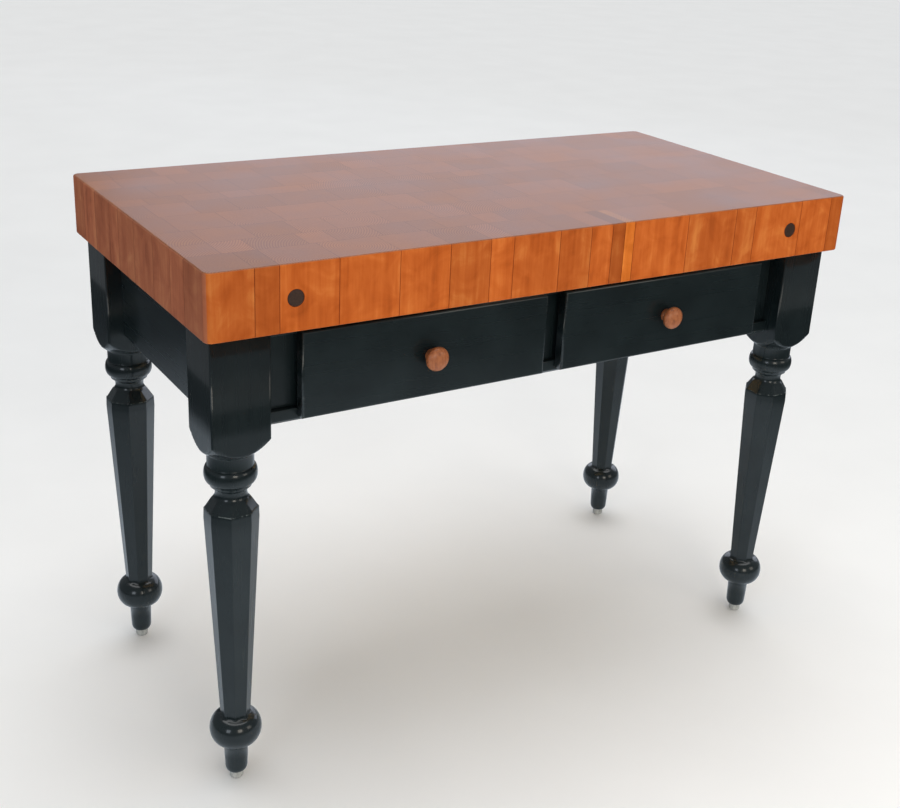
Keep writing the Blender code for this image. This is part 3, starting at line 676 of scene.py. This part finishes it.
def slice_at(shape, faces, axis, reach):
    """Cuts these faces with the plane where axis equals reach."""
    geometry = set(faces)
    for face in faces:
        geometry.update(face.edges)
        geometry.update(face.verts)
    point = [0.0, 0.0, 0.0]
    normal = [0.0, 0.0, 0.0]
    point[axis] = reach
    normal[axis] = 1.0
    bmesh.ops.bisect_plane(shape, geom=list(geometry), dist=1e-6, plane_co=point, plane_no=normal)


def random_joints(draw):
    joints = []
    reach = slab_low[0] + draw.uniform(*FIRST_BLOCK) * MM
    while reach < slab_high[0] - NARROWEST * MM:
        joints.append(reach)
        reach += draw.uniform(*BLOCK_WIDTHS) * MM
    return joints


def slice_into_blocks(shape, draw):
    """Slices the slab and lists its blocks as (front, back, left, right, tone)."""
    rows = [-FAR] + [edge * MM for edge in ROW_EDGES] + [FAR]
    for reach in rows[1:-1]:
        slice_at(shape, list(shape.faces), 1, reach)
    blocks = []
    for row, (low, high) in enumerate(zip(rows, rows[1:])):
        joints = random_joints(draw) if row else [joint * MM for joint in FRONT_JOINTS]
        for reach in joints:
            in_row = [face for face in shape.faces if low <= face.calc_center_median()[1] < high]
            slice_at(shape, in_row, 0, reach)
        edges = [-FAR] + joints + [FAR]
        for column, (left, right) in enumerate(zip(edges, edges[1:])):
            tone = draw.uniform(*TONES) if row else FRONT_TONES[column]
            blocks.append((low, high, left, right, tone))
    return blocks


print(len(ROW_EDGES) + 1, "rows,", len(FRONT_TONES), "blocks in the front one")

# %% [markdown]
# Last, every block gets a tone, an offset into the grain pattern and a thin border that stands for the glue
# line. The offset puts the pith somewhere near the block, and a new stretch of grain on its sides. Real glue
# lines are a hair wide. They are drawn just under a millimetre wide so that they show. End grain is darker
# already, so the line shows less there.

# %% Blocks of the slab
GLUE_HALF = 0.45 * MM
PITH_REACH = 0.09
GRAIN_REACH = 3
BORE_EDGE = 20 * MM
HALF_DEPTH = 0.3


def in_bore(face):
    """True for a face inside one of the tie bolts' holes."""
    centre = face.calc_center_median()
    inside_z = slab_low[2] + BORE_EDGE < centre.z < slab_high[2] - BORE_EDGE
    inside_x = abs(centre.x) < slab_high[0] - BORE_EDGE
    return inside_z and inside_x and abs(centre.y) < slab_high[1] - 0.5 * MM


def describe(face, layers, tone, offset):
    """Stores on a face what the finish has to know about its block."""
    face[layers["block_tone"]] = tone
    face[layers["block_shift"]] = offset
    face[layers["end_grain"]] = 1.0 if abs(face.normal.z) > 0.8 else 0.0
    # Painted shade: marks the short sides, whose colour the finish darkens.
    face[layers["short_side"]] = 1.0 if abs(face.normal.x) > 0.7 else 0.0


def faces_of_blocks(shape, blocks):
    found = [[] for _ in blocks]
    for face in shape.faces:
        centre = face.calc_center_median()
        for index, (low, high, left, right, _) in enumerate(blocks):
            if low <= centre.y < high and left <= centre.x < right:
                found[index].append(face)
                break
    return found


def glued_blocks(data):
    draw = random.Random(SEED)
    shape = bmesh.new()
    shape.from_mesh(data)
    blocks = slice_into_blocks(shape, draw)
    layers = {}
    for name in ("block_tone", "block_shift", "glue_line", "end_grain", "short_side"):
        kinds = shape.faces.layers
        layers[name] = (kinds.float_vector if name == "block_shift" else kinds.float).new(name)
    for faces, (low, high, left, right, tone) in zip(faces_of_blocks(shape, blocks), blocks):
        sideways = draw.uniform(-PITH_REACH, PITH_REACH)
        back = draw.uniform(-PITH_REACH, PITH_REACH)
        shift = Vector((sideways, back, draw.uniform(-GRAIN_REACH, GRAIN_REACH)))
        middle_x = (max(left, slab_low[0]) + min(right, slab_high[0])) / 2
        middle_y = (max(low, -HALF_DEPTH) + min(high, HALF_DEPTH)) / 2
        offset = shift - Vector((middle_x, middle_y, 0))
        for face in faces:
            describe(face, layers, tone, offset)
        outer = [face for face in faces if not in_bore(face)]
        border = bmesh.ops.inset_region(shape, faces=outer, thickness=GLUE_HALF, use_even_offset=True)
        for face in border["faces"]:
            describe(face, layers, tone, offset)
            face[layers["glue_line"]] = 1.0 - 0.45 * face[layers["end_grain"]]
    print(len(blocks), "blocks,", len(shape.faces), "faces")
    return to_mesh(shape, "slab")


slab = piece("end_grain_slab", "butcher_block_top", glued_blocks(slab_blank), cherry_sides)
slab.data.materials.append(cherry_top)
for polygon in slab.data.polygons:
    polygon.material_index = 1 if polygon.normal.z > 0.5 else 0
even_normals(slab)

# %% [markdown]
# ## Plugs over the tie bolts
#
# A short dowel of dark wood closes each hole. It is sanded almost flush and its rim is just softened. A
# turned disc with a small chamfer and a slightly crowned face gives the same soft rim.

# %% Plugs
PLUG_STEPS = 6
CHAMFER = 0.4
CROWN = 0.7
RIM = 0.9


def plug_profile(radius, length):
    profile = [(0.0, radius - CHAMFER), (CHAMFER, radius), (length - CROWN, radius)]
    for step in range(1, PLUG_STEPS + 1):
        angle = math.pi / 2 * step / PLUG_STEPS
        profile.append((length - CROWN + CROWN * math.sin(angle), radius - RIM + RIM * math.cos(angle)))
    return profile + [(length, radius * 0.4), (length, 0.2)]


for face_name, turn in (("front", math.pi / 2), ("back", -math.pi / 2)):
    for side in ("left", "right"):
        node_name = f"tie_bolt_plug_{face_name}_{side}"
        low, high = (Vector(corner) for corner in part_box(node_name))
        radius = (high.x - low.x) / 2 / MM
        length = (high.y - low.y) / MM
        start = (low + high) / 2
        start.y = high.y if face_name == "front" else low.y
        data = lathe(plug_profile(radius, length), 64, node_name)
        data.transform(Matrix.Translation(start) @ Matrix.Rotation(turn, 4, "X"))
        even_normals(piece(f"plug_{face_name}_{side}", node_name, data, walnut_plug))
print("plug radius in mm:", round(radius, 2))

# %% [markdown]
# ## The legs
#
# A leg starts as a square blank. The top stays square where the aprons meet it, a lathe cuts the pommel,
# neck, bead, cove, bulb and peg, and a plane or router flattens the flare under the cove and the long taper
# to eight sides. Each height gets a ring of points whose distance from the axis is the least of the square's,
# the lathe's and the octagon's, which is what cutting wood away does. The points crowd together near the
# arrises, so that those stay crisp but eased.

# %% Leg cross-sections
leg_low, leg_high = (Vector(corner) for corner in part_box("leg_front_left"))
LEG_TOP = leg_high.z / MM
HALF_LEG = (leg_high.x - leg_low.x) / 2 / MM
SQUARE_EASE = 2.2
OCTAGON_EASE = 1.4
CORNER_SPREAD = math.radians(11.25)  # the corner planed flat spans this much on either side
FLAT_CORNER = HALF_LEG / math.cos(math.pi / 4 - CORNER_SPREAD) * math.cos(CORNER_SPREAD)
OCTANT = [0.0, 1.0, 2.2, 4.0, 8.0, 12.0, 16.0, 19.0, 20.6, 21.7, 22.5]
octant_steps = OCTANT + [45.0 - step for step in reversed(OCTANT[:-1])]
leg_angles = [math.radians(45 * octant + step) for octant in range(8) for step in octant_steps[:-1]]


def flat_sided(angle, apothem, sides, ease):
    """Distance from the axis to a polygon with rounded corners, one flat facing angle 0."""
    half = math.pi / sides
    from_flat = (angle + half) % (2 * half) - half
    flat_end = math.atan((apothem - ease) * math.tan(half) / apothem)
    if abs(from_flat) <= flat_end:
        return apothem / math.cos(from_flat)
    to_corner = half - abs(from_flat)
    centre = (apothem - ease) / math.cos(half)
    return centre * math.cos(to_corner) + math.sqrt(max(ease**2 - (centre * math.sin(to_corner)) ** 2, 0.0))


def leg_outline(height, turned=None, octagon=None, swell=0.0):
    """A ring of points at a height, for a lathe radius and an octagon's apothem, no nearer than swell."""
    points = []
    for angle in leg_angles:
        radius = flat_sided(angle, HALF_LEG, 4, SQUARE_EASE)
        from_corner = math.cos(angle - math.pi / 4)
        if from_corner > 0:
            radius = min(radius, FLAT_CORNER / from_corner)
        if octagon is not None:
            radius = min(radius, flat_sided(angle, octagon, 8, OCTAGON_EASE))
        if turned is not None:
            radius = min(radius, turned)
        radius = max(radius, swell)
        points.append(Vector((radius * math.cos(angle), radius * math.sin(angle), height)) * MM)
    return points


print(len(leg_angles), "points round each ring of a leg")

# %% [markdown]
# The pommel is where the square turns round. A turner rolls the gouge down the corners, which leaves a
# shoulder between a quarter circle and a straight slope. The bead below it is two quarter ellipses that meet
# at its widest height, which is how a turner sees it: a fair curve between two fillets. The cove under it is
# one more quarter ellipse.

# %% Pommel, bead and cove
# Heights above the floor and radii, in mm.
POMMEL = 620.1
NECK = 590.1
NECK_RADIUS = 35.3
BEAD_TOP = 568.1
BEAD_MIDDLE = 555.0
BEAD_RADIUS = 40.0
BEAD_LOW = 541.1
BEAD_FOOT = 32.6
COVE_TOP = 535.1
COVE_LIP = 30.8
WAIST = 523.1
WAIST_RADIUS = 24.0
POMMEL_FALL = 1.7  # 1 would round the shoulder to a quarter ellipse, 2 would cut it to a straight slope
POMMEL_STEPS = 30
BEAD_STEPS = 14
COVE_STEPS = 12


def fair_curve(top, bottom, middle, steps):
    """Two quarter ellipses through (height, radius) points that meet at the middle one."""
    points = []
    for i in range(2 * steps + 1):
        angle = math.pi / 2 * (i - steps) / steps
        end_height, end_radius = top if i < steps else bottom
        height = middle[0] + (end_height - middle[0]) * abs(math.sin(angle))
        points.append((height, end_radius + (middle[1] - end_radius) * math.cos(angle)))
    return points


def pommel_rings():
    rings = [(LEG_TOP,), (POMMEL + 8,), (POMMEL + 1,)]
    reach = HALF_LEG * math.sqrt(2)
    for step in range(POMMEL_STEPS + 1):
        angle = math.pi / 2 * step / POMMEL_STEPS
        outward = max(math.cos(angle), 0.0) ** POMMEL_FALL
        down = math.sin(angle) ** POMMEL_FALL
        rings.append((POMMEL - (POMMEL - NECK) * down, NECK_RADIUS + (reach - NECK_RADIUS) * outward))
    return rings + [(NECK - 2, NECK_RADIUS - 0.3), (BEAD_TOP + 2, NECK_RADIUS - 0.3)]


def bead_and_cove_rings():
    top = (BEAD_TOP, NECK_RADIUS)
    rings = fair_curve(top, (BEAD_LOW, BEAD_FOOT), (BEAD_MIDDLE, BEAD_RADIUS), BEAD_STEPS)
    rings += [(BEAD_LOW - 0.6, BEAD_FOOT - 1.0), (COVE_TOP + 0.5, COVE_LIP + 0.5), (COVE_TOP, COVE_LIP)]
    for step in range(1, COVE_STEPS + 1):
        angle = math.pi / 2 * step / COVE_STEPS
        height = WAIST + (COVE_TOP - WAIST) * math.cos(angle)
        rings.append((height, COVE_LIP - (COVE_LIP - WAIST_RADIUS) * math.sin(angle)))
    return rings


print("pommel, bead and cove:", len(pommel_rings() + bead_and_cove_rings()), "rings")

# %% [markdown]
# From the waist the leg flares out to a collar and then tapers down to the bulb. The flare is turned at its
# top, in a short scoop, and planed to eight sides below, so the eye sees facets that start in a round. The
# taper is planed alone. The bulb swells out of it, so there the outline is the wider of the two.

# %% Flare, taper, bulb and peg
# Heights above the floor, radii and apothems, in mm.
SCOOP = 14.0
SCOOP_END = math.radians(32)
COLLAR = 497.1
COLLAR_LOW = 480.1
COLLAR_APOTHEM = 38.6
BULB_TOP = 125.0
BULB_TOP_RADIUS = 23.0
BULB_MIDDLE = 99.0
BULB_RADIUS = 41.5
BULB_LOW = 72.0
BULB_LOW_RADIUS = 20.4
PEG_ROUND = 27.0
PEG_RADIUS = 18.0
PEG_TIP_RADIUS = 12.2
PEG_END = leg_low.z / MM
TAPER_END_APOTHEM = 22.0
TAPER = (COLLAR_APOTHEM - TAPER_END_APOTHEM) / (COLLAR_LOW - BULB_TOP)


def flare_rings():
    rings = []
    for step in range(1, 9):
        angle = SCOOP_END * step / 8
        rings.append((WAIST - SCOOP * math.sin(angle), WAIST_RADIUS + SCOOP * (1 - math.cos(angle))))
    start, inner = rings[-1]
    for step in range(1, 9):
        down = step / 8
        height = start - (start - COLLAR - 0.6) * down
        rings.append((height, inner + 2.0 + 11.0 * down, inner + (COLLAR_APOTHEM - 1.2 - inner) * down))
    return rings + [(COLLAR, None, COLLAR_APOTHEM - 0.7), (COLLAR - 0.7, None, COLLAR_APOTHEM - 0.5)]


def taper_apothem(height):
    return COLLAR_APOTHEM - TAPER * (COLLAR_LOW - height)


def taper_rings():
    rings = []
    under_collar = COLLAR - 1
    for step in range(1, 5):
        down = step / 4
        height = under_collar - (under_collar - COLLAR_LOW) * down
        rings.append((height, None, COLLAR_APOTHEM - 0.5 + 0.5 * down))
    top = COLLAR_LOW - 1.0
    for step in range(1, 25):
        height = top - (top - BULB_TOP - 6) * step / 24
        rings.append((height, None, taper_apothem(height)))
    return rings


def bulb_radius(height):
    """The bulb as a lathe cuts it: a quarter ellipse above its widest height and one below."""
    if height > BULB_MIDDLE:
        rise = (height - BULB_MIDDLE) / (BULB_TOP - BULB_MIDDLE)
        return BULB_TOP_RADIUS + (BULB_RADIUS - BULB_TOP_RADIUS) * math.sqrt(max(1 - rise**2, 0.0))
    fall = (BULB_MIDDLE - height) / (BULB_MIDDLE - BULB_LOW)
    return BULB_LOW_RADIUS + (BULB_RADIUS - BULB_LOW_RADIUS) * math.sqrt(max(1 - fall**2, 0.0))


def bulb_and_peg_rings():
    rings = []
    height = BULB_TOP + 5
    while height > BULB_MIDDLE + 4:
        swell = bulb_radius(height) if height <= BULB_TOP else 0.0
        rings.append((height, None, taper_apothem(height), swell))
        height -= 1.0
    while height > BULB_LOW + 0.5:
        rings.append((height, bulb_radius(height)))
        height -= 1.5
    rings += [(BULB_LOW, BULB_LOW_RADIUS + 0.2), (BULB_LOW - 0.6, BULB_LOW_RADIUS - 1.0)]
    rings += [(45.0, PEG_RADIUS + 0.7), (PEG_ROUND, PEG_RADIUS)]
    for step in range(1, 9):
        angle = math.pi / 2 * step / 8
        height = PEG_ROUND - (PEG_ROUND - PEG_END) * math.sin(angle)
        rings.append((height, PEG_TIP_RADIUS + (PEG_RADIUS - PEG_TIP_RADIUS) * math.cos(angle)))
    return rings


print("the taper leans", round(math.degrees(math.atan(TAPER)), 2), "degrees")

# %% [markdown]
# The rings are lofted into one closed mesh. The faces on the line round the collar, where the flare meets
# the taper, are marked so that the paint there is paler: a painted highlight for the glint along that ridge.

# %% Leg mesh
COLLAR_PAINTED_HIGHLIGHT = 3.0
leg_rings = pommel_rings() + bead_and_cove_rings() + flare_rings() + taper_rings() + bulb_and_peg_rings()
leg_mesh = loft([leg_outline(*ring) for ring in leg_rings], "turned_leg")
painted_collar_highlight = leg_mesh.attributes.new("arris", "FLOAT", "FACE")
# Painted highlight: the faces round the collar get the paler paint.
for polygon in leg_mesh.polygons:
    if COLLAR - 1.0 < polygon.center.z / MM < COLLAR + 1.0:
        painted_collar_highlight.data[polygon.index].value = COLLAR_PAINTED_HIGHLIGHT
print("leg faces:", len(leg_mesh.polygons))

# %% [markdown]
# All four legs share one mesh, turned so that the corner planed flat faces the middle of the table, where the
# corner block and its bolt pull against it. A glide with a thin nail is driven into the end of each peg.

# %% Place the legs and the glides
CORNERS = {"front_left": (-1, -1), "front_right": (1, -1), "back_left": (-1, 1), "back_right": (1, 1)}
GLIDE_FOOT = [(0.0, 6.5), (0.3, 7.6), (1.2, 9.2), (2.4, 10.3), (4.0, 11.0)]
GLIDE_TOP = [(14.3, 11.0), (14.8, 10.7), (15.0, 10.2)]
GLIDE_NAIL = [(15.0, 1.6), (33.0, 1.6)]
glide_mesh = lathe(GLIDE_FOOT + GLIDE_TOP + GLIDE_NAIL, 48, "glide")
for corner, (side_x, side_y) in CORNERS.items():
    low, high = (Vector(point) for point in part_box(f"leg_{corner}"))
    middle = Vector(((low.x + high.x) / 2, (low.y + high.y) / 2, 0.0))
    turn = math.atan2(-side_y, -side_x) - math.pi / 4
    place = Matrix.Translation(middle) @ Matrix.Rotation(turn, 4, "Z")
    piece(f"turned_leg_{corner}", f"leg_{corner}", leg_mesh, paint_along["z"], place)
    piece(f"glide_{corner}", f"foot_glide_{corner}", glide_mesh, grey_nylon, Matrix.Translation(middle))
print("placed", len(CORNERS), "legs")

# %% [markdown]
# ## Boards with eased edges
#
# A planed board never has a knife edge: sandpaper or a few strokes of a block plane ease it by about a
# millimetre, and that narrow round is what catches the light. The CAD boards have the right shape but sharp
# edges, so each one is copied, its long edges are bevelled, and the bevels are marked so that the paint there
# can be rubbed paler.

# %% Eased boards
PAINTED_EASE = 1.0
BARE_EASE = 0.7
PANEL_EASE = 0.3
ARRIS_WEAR = 0.35


def eased_board(node_name, width_mm, finish, segments=3):
    shape = bmesh.new()
    shape.from_mesh(frame["nodes"][node_name].data)
    bmesh.ops.remove_doubles(shape, verts=shape.verts, dist=0.01 * MM)
    bmesh.ops.dissolve_limit(
        shape,
        angle_limit=math.radians(1),
        verts=shape.verts,
        edges=shape.edges,
        use_dissolve_boundaries=False,
    )
    arris_layer = shape.faces.layers.float.new("arris")
    width = width_mm * MM
    sharp = []
    for edge in shape.edges:
        long_enough = edge.calc_length() > 8 * width
        if long_enough and len(edge.link_faces) == 2 and edge.calc_face_angle(0.0) > math.radians(30):
            sharp.append(edge)
    made = bmesh.ops.bevel(shape, geom=sharp, offset=width, segments=segments, profile=0.5, affect="EDGES")
    for face in made["faces"]:
        face[arris_layer] = ARRIS_WEAR
    even_normals(piece(f"eased_{node_name}", node_name, to_mesh(shape, node_name), finish))


painted = {
    "apron_left": "y",
    "apron_right": "y",
    "apron_back": "x",
    "front_rail_bottom": "x",
    "front_rail_top": "x",
    "front_stile_left": "z",
    "front_stile_centre": "z",
    "front_stile_right": "z",
}
for node_name, along in painted.items():
    eased_board(node_name, PAINTED_EASE, paint_along[along])
bare = {f"corner_block_{corner}": "x" for corner in CORNERS}
bare.update({f"drawer_runner_{place}": "y" for place in ("left", "centre", "right")})
bare.update({f"drawer_stop_{side}": "y" for side in ("left", "right")})
for side in ("left", "right"):
    bare.update({f"drawer_{side}_side_inner": "y", f"drawer_{side}_side_outer": "y"})
    bare[f"drawer_{side}_back"] = "x"
for node_name, along in bare.items():
    eased_board(node_name, BARE_EASE, poplar_along[along])
for side in ("left", "right"):
    eased_board(f"drawer_{side}_bottom", PANEL_EASE, birch_plywood, 2)
print(len(painted), "painted boards and", len(bare), "bare ones")

# %% [markdown]
# ## Drawer fronts
#
# Each front is a thick painted board that laps over the opening. Its front edges are rounded over with a
# router, which puts a bright line round the drawer, and its back has the groove for the bottom panel and the
# hole for the knob's screw. The round is wide enough to need more segments than the CAD solid has.

# %% Drawer fronts
FRONT_ROUND = 3.5 * MM
BACK_EASE = 0.8 * MM
GROOVE_SLACK = 0.3 * MM
SCREW_HOLE = 2.5
for side in ("left", "right"):
    node_name = f"drawer_{side}_front"
    low, high = (Vector(corner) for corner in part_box(node_name))
    shape = box_shape(low, high)
    arris_layer = shape.faces.layers.float.new("arris")
    made = round_edges(shape, lambda a, b: max(a.y, b.y) < low.y + MM, FRONT_ROUND, 8)
    for face in made["faces"]:
        face[arris_layer] = ARRIS_WEAR
    round_edges(shape, lambda a, b: min(a.y, b.y) > high.y - 0.1 * MM, BACK_EASE, 2)
    panel_low, panel_high = (Vector(corner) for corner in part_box(f"drawer_{side}_bottom"))
    slack = Vector((GROOVE_SLACK, GROOVE_SLACK, GROOVE_SLACK))
    groove_high = Vector((panel_high.x, high.y + 10 * MM, panel_high.z))
    groove = to_mesh(box_shape(panel_low - slack, groove_high + slack), "groove")
    screw_low, screw_high = (Vector(corner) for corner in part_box(f"drawer_{side}_knob_screw"))
    middle = (screw_low + screw_high) / 2
    hole = lathe([(-60.0, SCREW_HOLE), (60.0, SCREW_HOLE)], 24, "screw_hole")
    hole.transform(Matrix.Translation(middle) @ Matrix.Rotation(math.pi / 2, 4, "X"))
    data = cut(to_mesh(shape, node_name), [groove, hole])
    even_normals(piece(f"painted_{node_name}", node_name, data, paint_along["x"]))
    print(node_name, "is", round((high.x - low.x) / MM), "mm wide")

# %% [markdown]
# ## Knobs
#
# The knobs are turned cherry mushrooms: a flared foot on the drawer front, a waist for the fingertips, and an
# oval cap. A lathe profile with many short steps gives the cap its even shine.

# %% Knobs
KNOB_WAIST = 9.0  # height of the waist above the drawer front
KNOB_STEM = 9.0
KNOB_FOOT = 11.0
FOOT_THICK = 1.5
FOOT_SWEEP = 4.5
CAP_SQUARENESS = 0.8  # 1 would make the cap an ellipse, less fills out its shoulders
KNOB_HOLE_DEPTH = 16.3


def knob_profile(length, radius):
    cap_half = (length - KNOB_WAIST) / 2
    profile = [(0.0, KNOB_FOOT - 0.5), (0.5, KNOB_FOOT), (FOOT_THICK, KNOB_FOOT)]
    for step in range(1, 9):
        angle = math.pi / 2 * step / 8
        swept = KNOB_FOOT - (KNOB_FOOT - KNOB_STEM) * (1 - math.cos(angle))
        profile.append((FOOT_THICK + FOOT_SWEEP * math.sin(angle), swept))
    profile.append((KNOB_WAIST - 1.0, KNOB_STEM))
    for step in range(1, 40):
        angle = math.pi * (step / 40 - 0.5)
        across = max(radius * math.cos(angle) ** CAP_SQUARENESS, KNOB_STEM if angle < 0 else 0.0)
        profile.append((KNOB_WAIST + cap_half + cap_half * math.sin(angle), across))
    return profile + [(length, 0.4)]


for side in ("left", "right"):
    node_name = f"drawer_{side}_knob"
    low, high = (Vector(corner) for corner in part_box(node_name))
    length = (high.y - low.y) / MM
    radius = (high.x - low.x) / 2 / MM
    knob = lathe(knob_profile(length, radius), 72, node_name)
    hole = lathe([(-5.0, SCREW_HOLE), (KNOB_HOLE_DEPTH, SCREW_HOLE)], 24, "knob_hole")
    data = cut(knob, [hole])
    start = Vector(((low.x + high.x) / 2, high.y, (low.z + high.z) / 2))
    data.transform(Matrix.Translation(start) @ Matrix.Rotation(math.pi / 2, 4, "X"))
    piece(f"turned_knob_{side}", node_name, data, turned_cherry)
print("knob", round(2 * radius, 1), "mm across")

# %% [markdown]
# ## The hardware
#
# The bolts, nuts and screws keep their CAD shapes, because a hexagon head is crisp on the real one too. They
# only need their plating.

# %% Plate the hardware
plated = [name for name, slot in slot_of.items() if slot == "zinc_steel"]
for name in plated:
    for material_slot in frame["nodes"][name].material_slots:
        material_slot.material = zinc_steel
print("plated", len(plated), "pieces")

# %% [markdown]
# ## The floor
#
# A wide matt floor in a pale grey shows the table's shadows and nothing else. Black paint mirrors the floor
# it stands on, and in a real studio the floor is only bright under the lamps. So rays that bounce off
# something glossy find a painted reflection, bluish and bright round the table and dark farther away, while
# the floor itself keeps its even grey.

# %% Floor
FLOOR_SIZE = 60.0
BRIGHT_WITHIN = 0.6
DARK_BEYOND = 2.1


def pale_floor():
    material, tree, shader = new_finish("matt_pale_floor", Roughness=0.85, Specular_IOR_Level=0.2)
    place = node(tree, "ShaderNodeTexCoord")
    mottle = node(
        tree,
        "ShaderNodeTexNoise",
        {"Scale": pattern_scale(333.3), "Detail": 4.0},
        {"Vector": (place, "Object")},
    )
    pale_stops = [(0.3, "#F4F4F3"), (0.7, "#F7F7F6")]
    pale = node(tree, "ShaderNodeValToRGB", {"stops": pale_stops}, {"Fac": (mottle, "Fac")})
    distance = node(tree, "ShaderNodeVectorMath", {"operation": "LENGTH"}, {0: (place, "Object")})
    away = node(
        tree,
        "ShaderNodeMapRange",
        {"From Min": BRIGHT_WITHIN, "From Max": DARK_BEYOND},
        {"Value": (distance, "Value")},
    )
    # Painted reflection: glossy rays find a painted pool of light, bright round the table and dark farther
    # away.
    mirrored_stops = [(0.0, "#D9E6F2"), (1.0, "#2B3034")]
    painted_floor_reflection = node(tree, "ShaderNodeValToRGB", {"stops": mirrored_stops}, {"Fac": away})
    path = node(tree, "ShaderNodeLightPath")
    seen = node(
        tree,
        "ShaderNodeMix",
        {"data_type": "RGBA"},
        {FACTOR: (path, "Is Glossy Ray"), COLOUR_A: pale, COLOUR_B: painted_floor_reflection},
    )
    link(tree, shader, {"Base Color": (seen, MIXED)})
    return material


floor_shape = bmesh.new()
bmesh.ops.create_grid(floor_shape, x_segments=2, y_segments=2, size=FLOOR_SIZE)
floor_data = to_mesh(floor_shape, "floor")
floor_data.materials.append(pale_floor())
floor = bpy.data.objects.new("floor", floor_data)
bpy.context.scene.collection.objects.link(floor)
print("floor", floor.dimensions.x, "m wide")

# %% [markdown]
# ## Light
#
# Three softboxes stand like windows in front of the table and leave small bright marks on the beads and
# bulbs of the legs. They are weak, because a strong one would glare on the top in a view from behind. Two
# broad fills do most of the lighting of the drawers and of the slab's front, and are kept out of reflections.
# A wide panel behind and above does the opposite: it only shows as the pale sheen on the oiled top.

# %% Softboxes
TABLE_MIDDLE = (0.0, 0.0, 0.6)
DAYLIGHT = "#E4EEFA"
LAMPLIGHT = "#FFF6E8"


def softbox(name, position, width, height, power, colour):
    data = bpy.data.lights.new(name, "AREA")
    data.shape = "RECTANGLE"
    data.size = width
    data.size_y = height
    data.energy = power
    data.color = linear(colour)[:3]
    lamp = bpy.data.objects.new(name, data)
    lamp.location = position
    lamp.rotation_euler = (Vector(TABLE_MIDDLE) - Vector(position)).to_track_quat("-Z", "Y").to_euler()
    lamp.visible_camera = False
    bpy.context.scene.collection.objects.link(lamp)
    return lamp


softbox("window_left", (-3.6, -2.4, 1.4), 1.1, 1.3, 16.0, DAYLIGHT)
softbox("window_front", (-0.7, -3.9, 1.5), 1.1, 1.3, 19.0, LAMPLIGHT)
softbox("window_right", (2.0, -3.1, 1.5), 1.1, 1.3, 9.0, LAMPLIGHT)
softbox("front_fill", (0.2, -3.9, 1.7), 3.6, 1.8, 44.0, LAMPLIGHT).visible_glossy = False
softbox("left_fill", (-3.8, -1.6, 1.6), 1.8, 1.6, 10.0, DAYLIGHT).visible_glossy = False
softbox("sheen_panel", (4.3, 3.7, 2.3), 9.0, 3.2, 140.0, "#DEE6F6").visible_diffuse = False
print("six softboxes placed")

# %% [markdown]
# A very wide sun stands in for a white ceiling and gives the soft shadow under the table. The surround is a
# pale backdrop to the camera, a mid grey to the rest of the light, so that shadows keep their depth, and a
# little darker still in reflections, which keeps the black paint black.

# %% Ceiling and surround
CEILING_TILT = (math.radians(-8), math.radians(6), 0.0)
ceiling = bpy.data.lights.new("ceiling", "SUN")
ceiling.energy = 1.7
ceiling.angle = math.radians(60)
ceiling_lamp = bpy.data.objects.new("ceiling", ceiling)
ceiling_lamp.rotation_euler = CEILING_TILT
bpy.context.scene.collection.objects.link(ceiling_lamp)

world = bpy.data.worlds.new("studio")
world.use_nodes = True
path = node(world.node_tree, "ShaderNodeLightPath")
unseen = node(
    world.node_tree,
    "ShaderNodeMix",
    {"data_type": "RGBA", COLOUR_A: linear("#97999B"), COLOUR_B: linear("#7C8084")},
    {FACTOR: (path, "Is Glossy Ray")},
)
shade = node(
    world.node_tree,
    "ShaderNodeMix",
    {"data_type": "RGBA", COLOUR_B: linear("#E3E5E5")},
    {FACTOR: (path, "Is Camera Ray"), COLOUR_A: (unseen, MIXED)},
)
link(world.node_tree, world.node_tree.nodes["Background"], {"Color": (shade, MIXED)})
bpy.context.scene.world = world
bpy.context.scene.view_settings.view_transform = "Standard"
print("ceiling and surround set")

# %% [markdown]
# ## Camera
#
# The camera stands in front of the left corner at about eye level and looks down on the table. A slight shift
# of the lens frames it without tilting further.

# %% Camera
camera_data = bpy.data.cameras.new("camera")
camera_data.sensor_width = 36.0
camera_data.lens = 51.55
camera_data.shift_x = -0.0309
camera_data.shift_y = -0.0347
camera = bpy.data.objects.new("camera", camera_data)
camera.location = (-1.1979, -1.8651, 1.4168)
camera.rotation_euler = (1.1922, -0.05292, -0.56286)
bpy.context.scene.collection.objects.link(camera)
bpy.context.scene.camera = camera
print("camera", [round(value, 3) for value in camera.location])
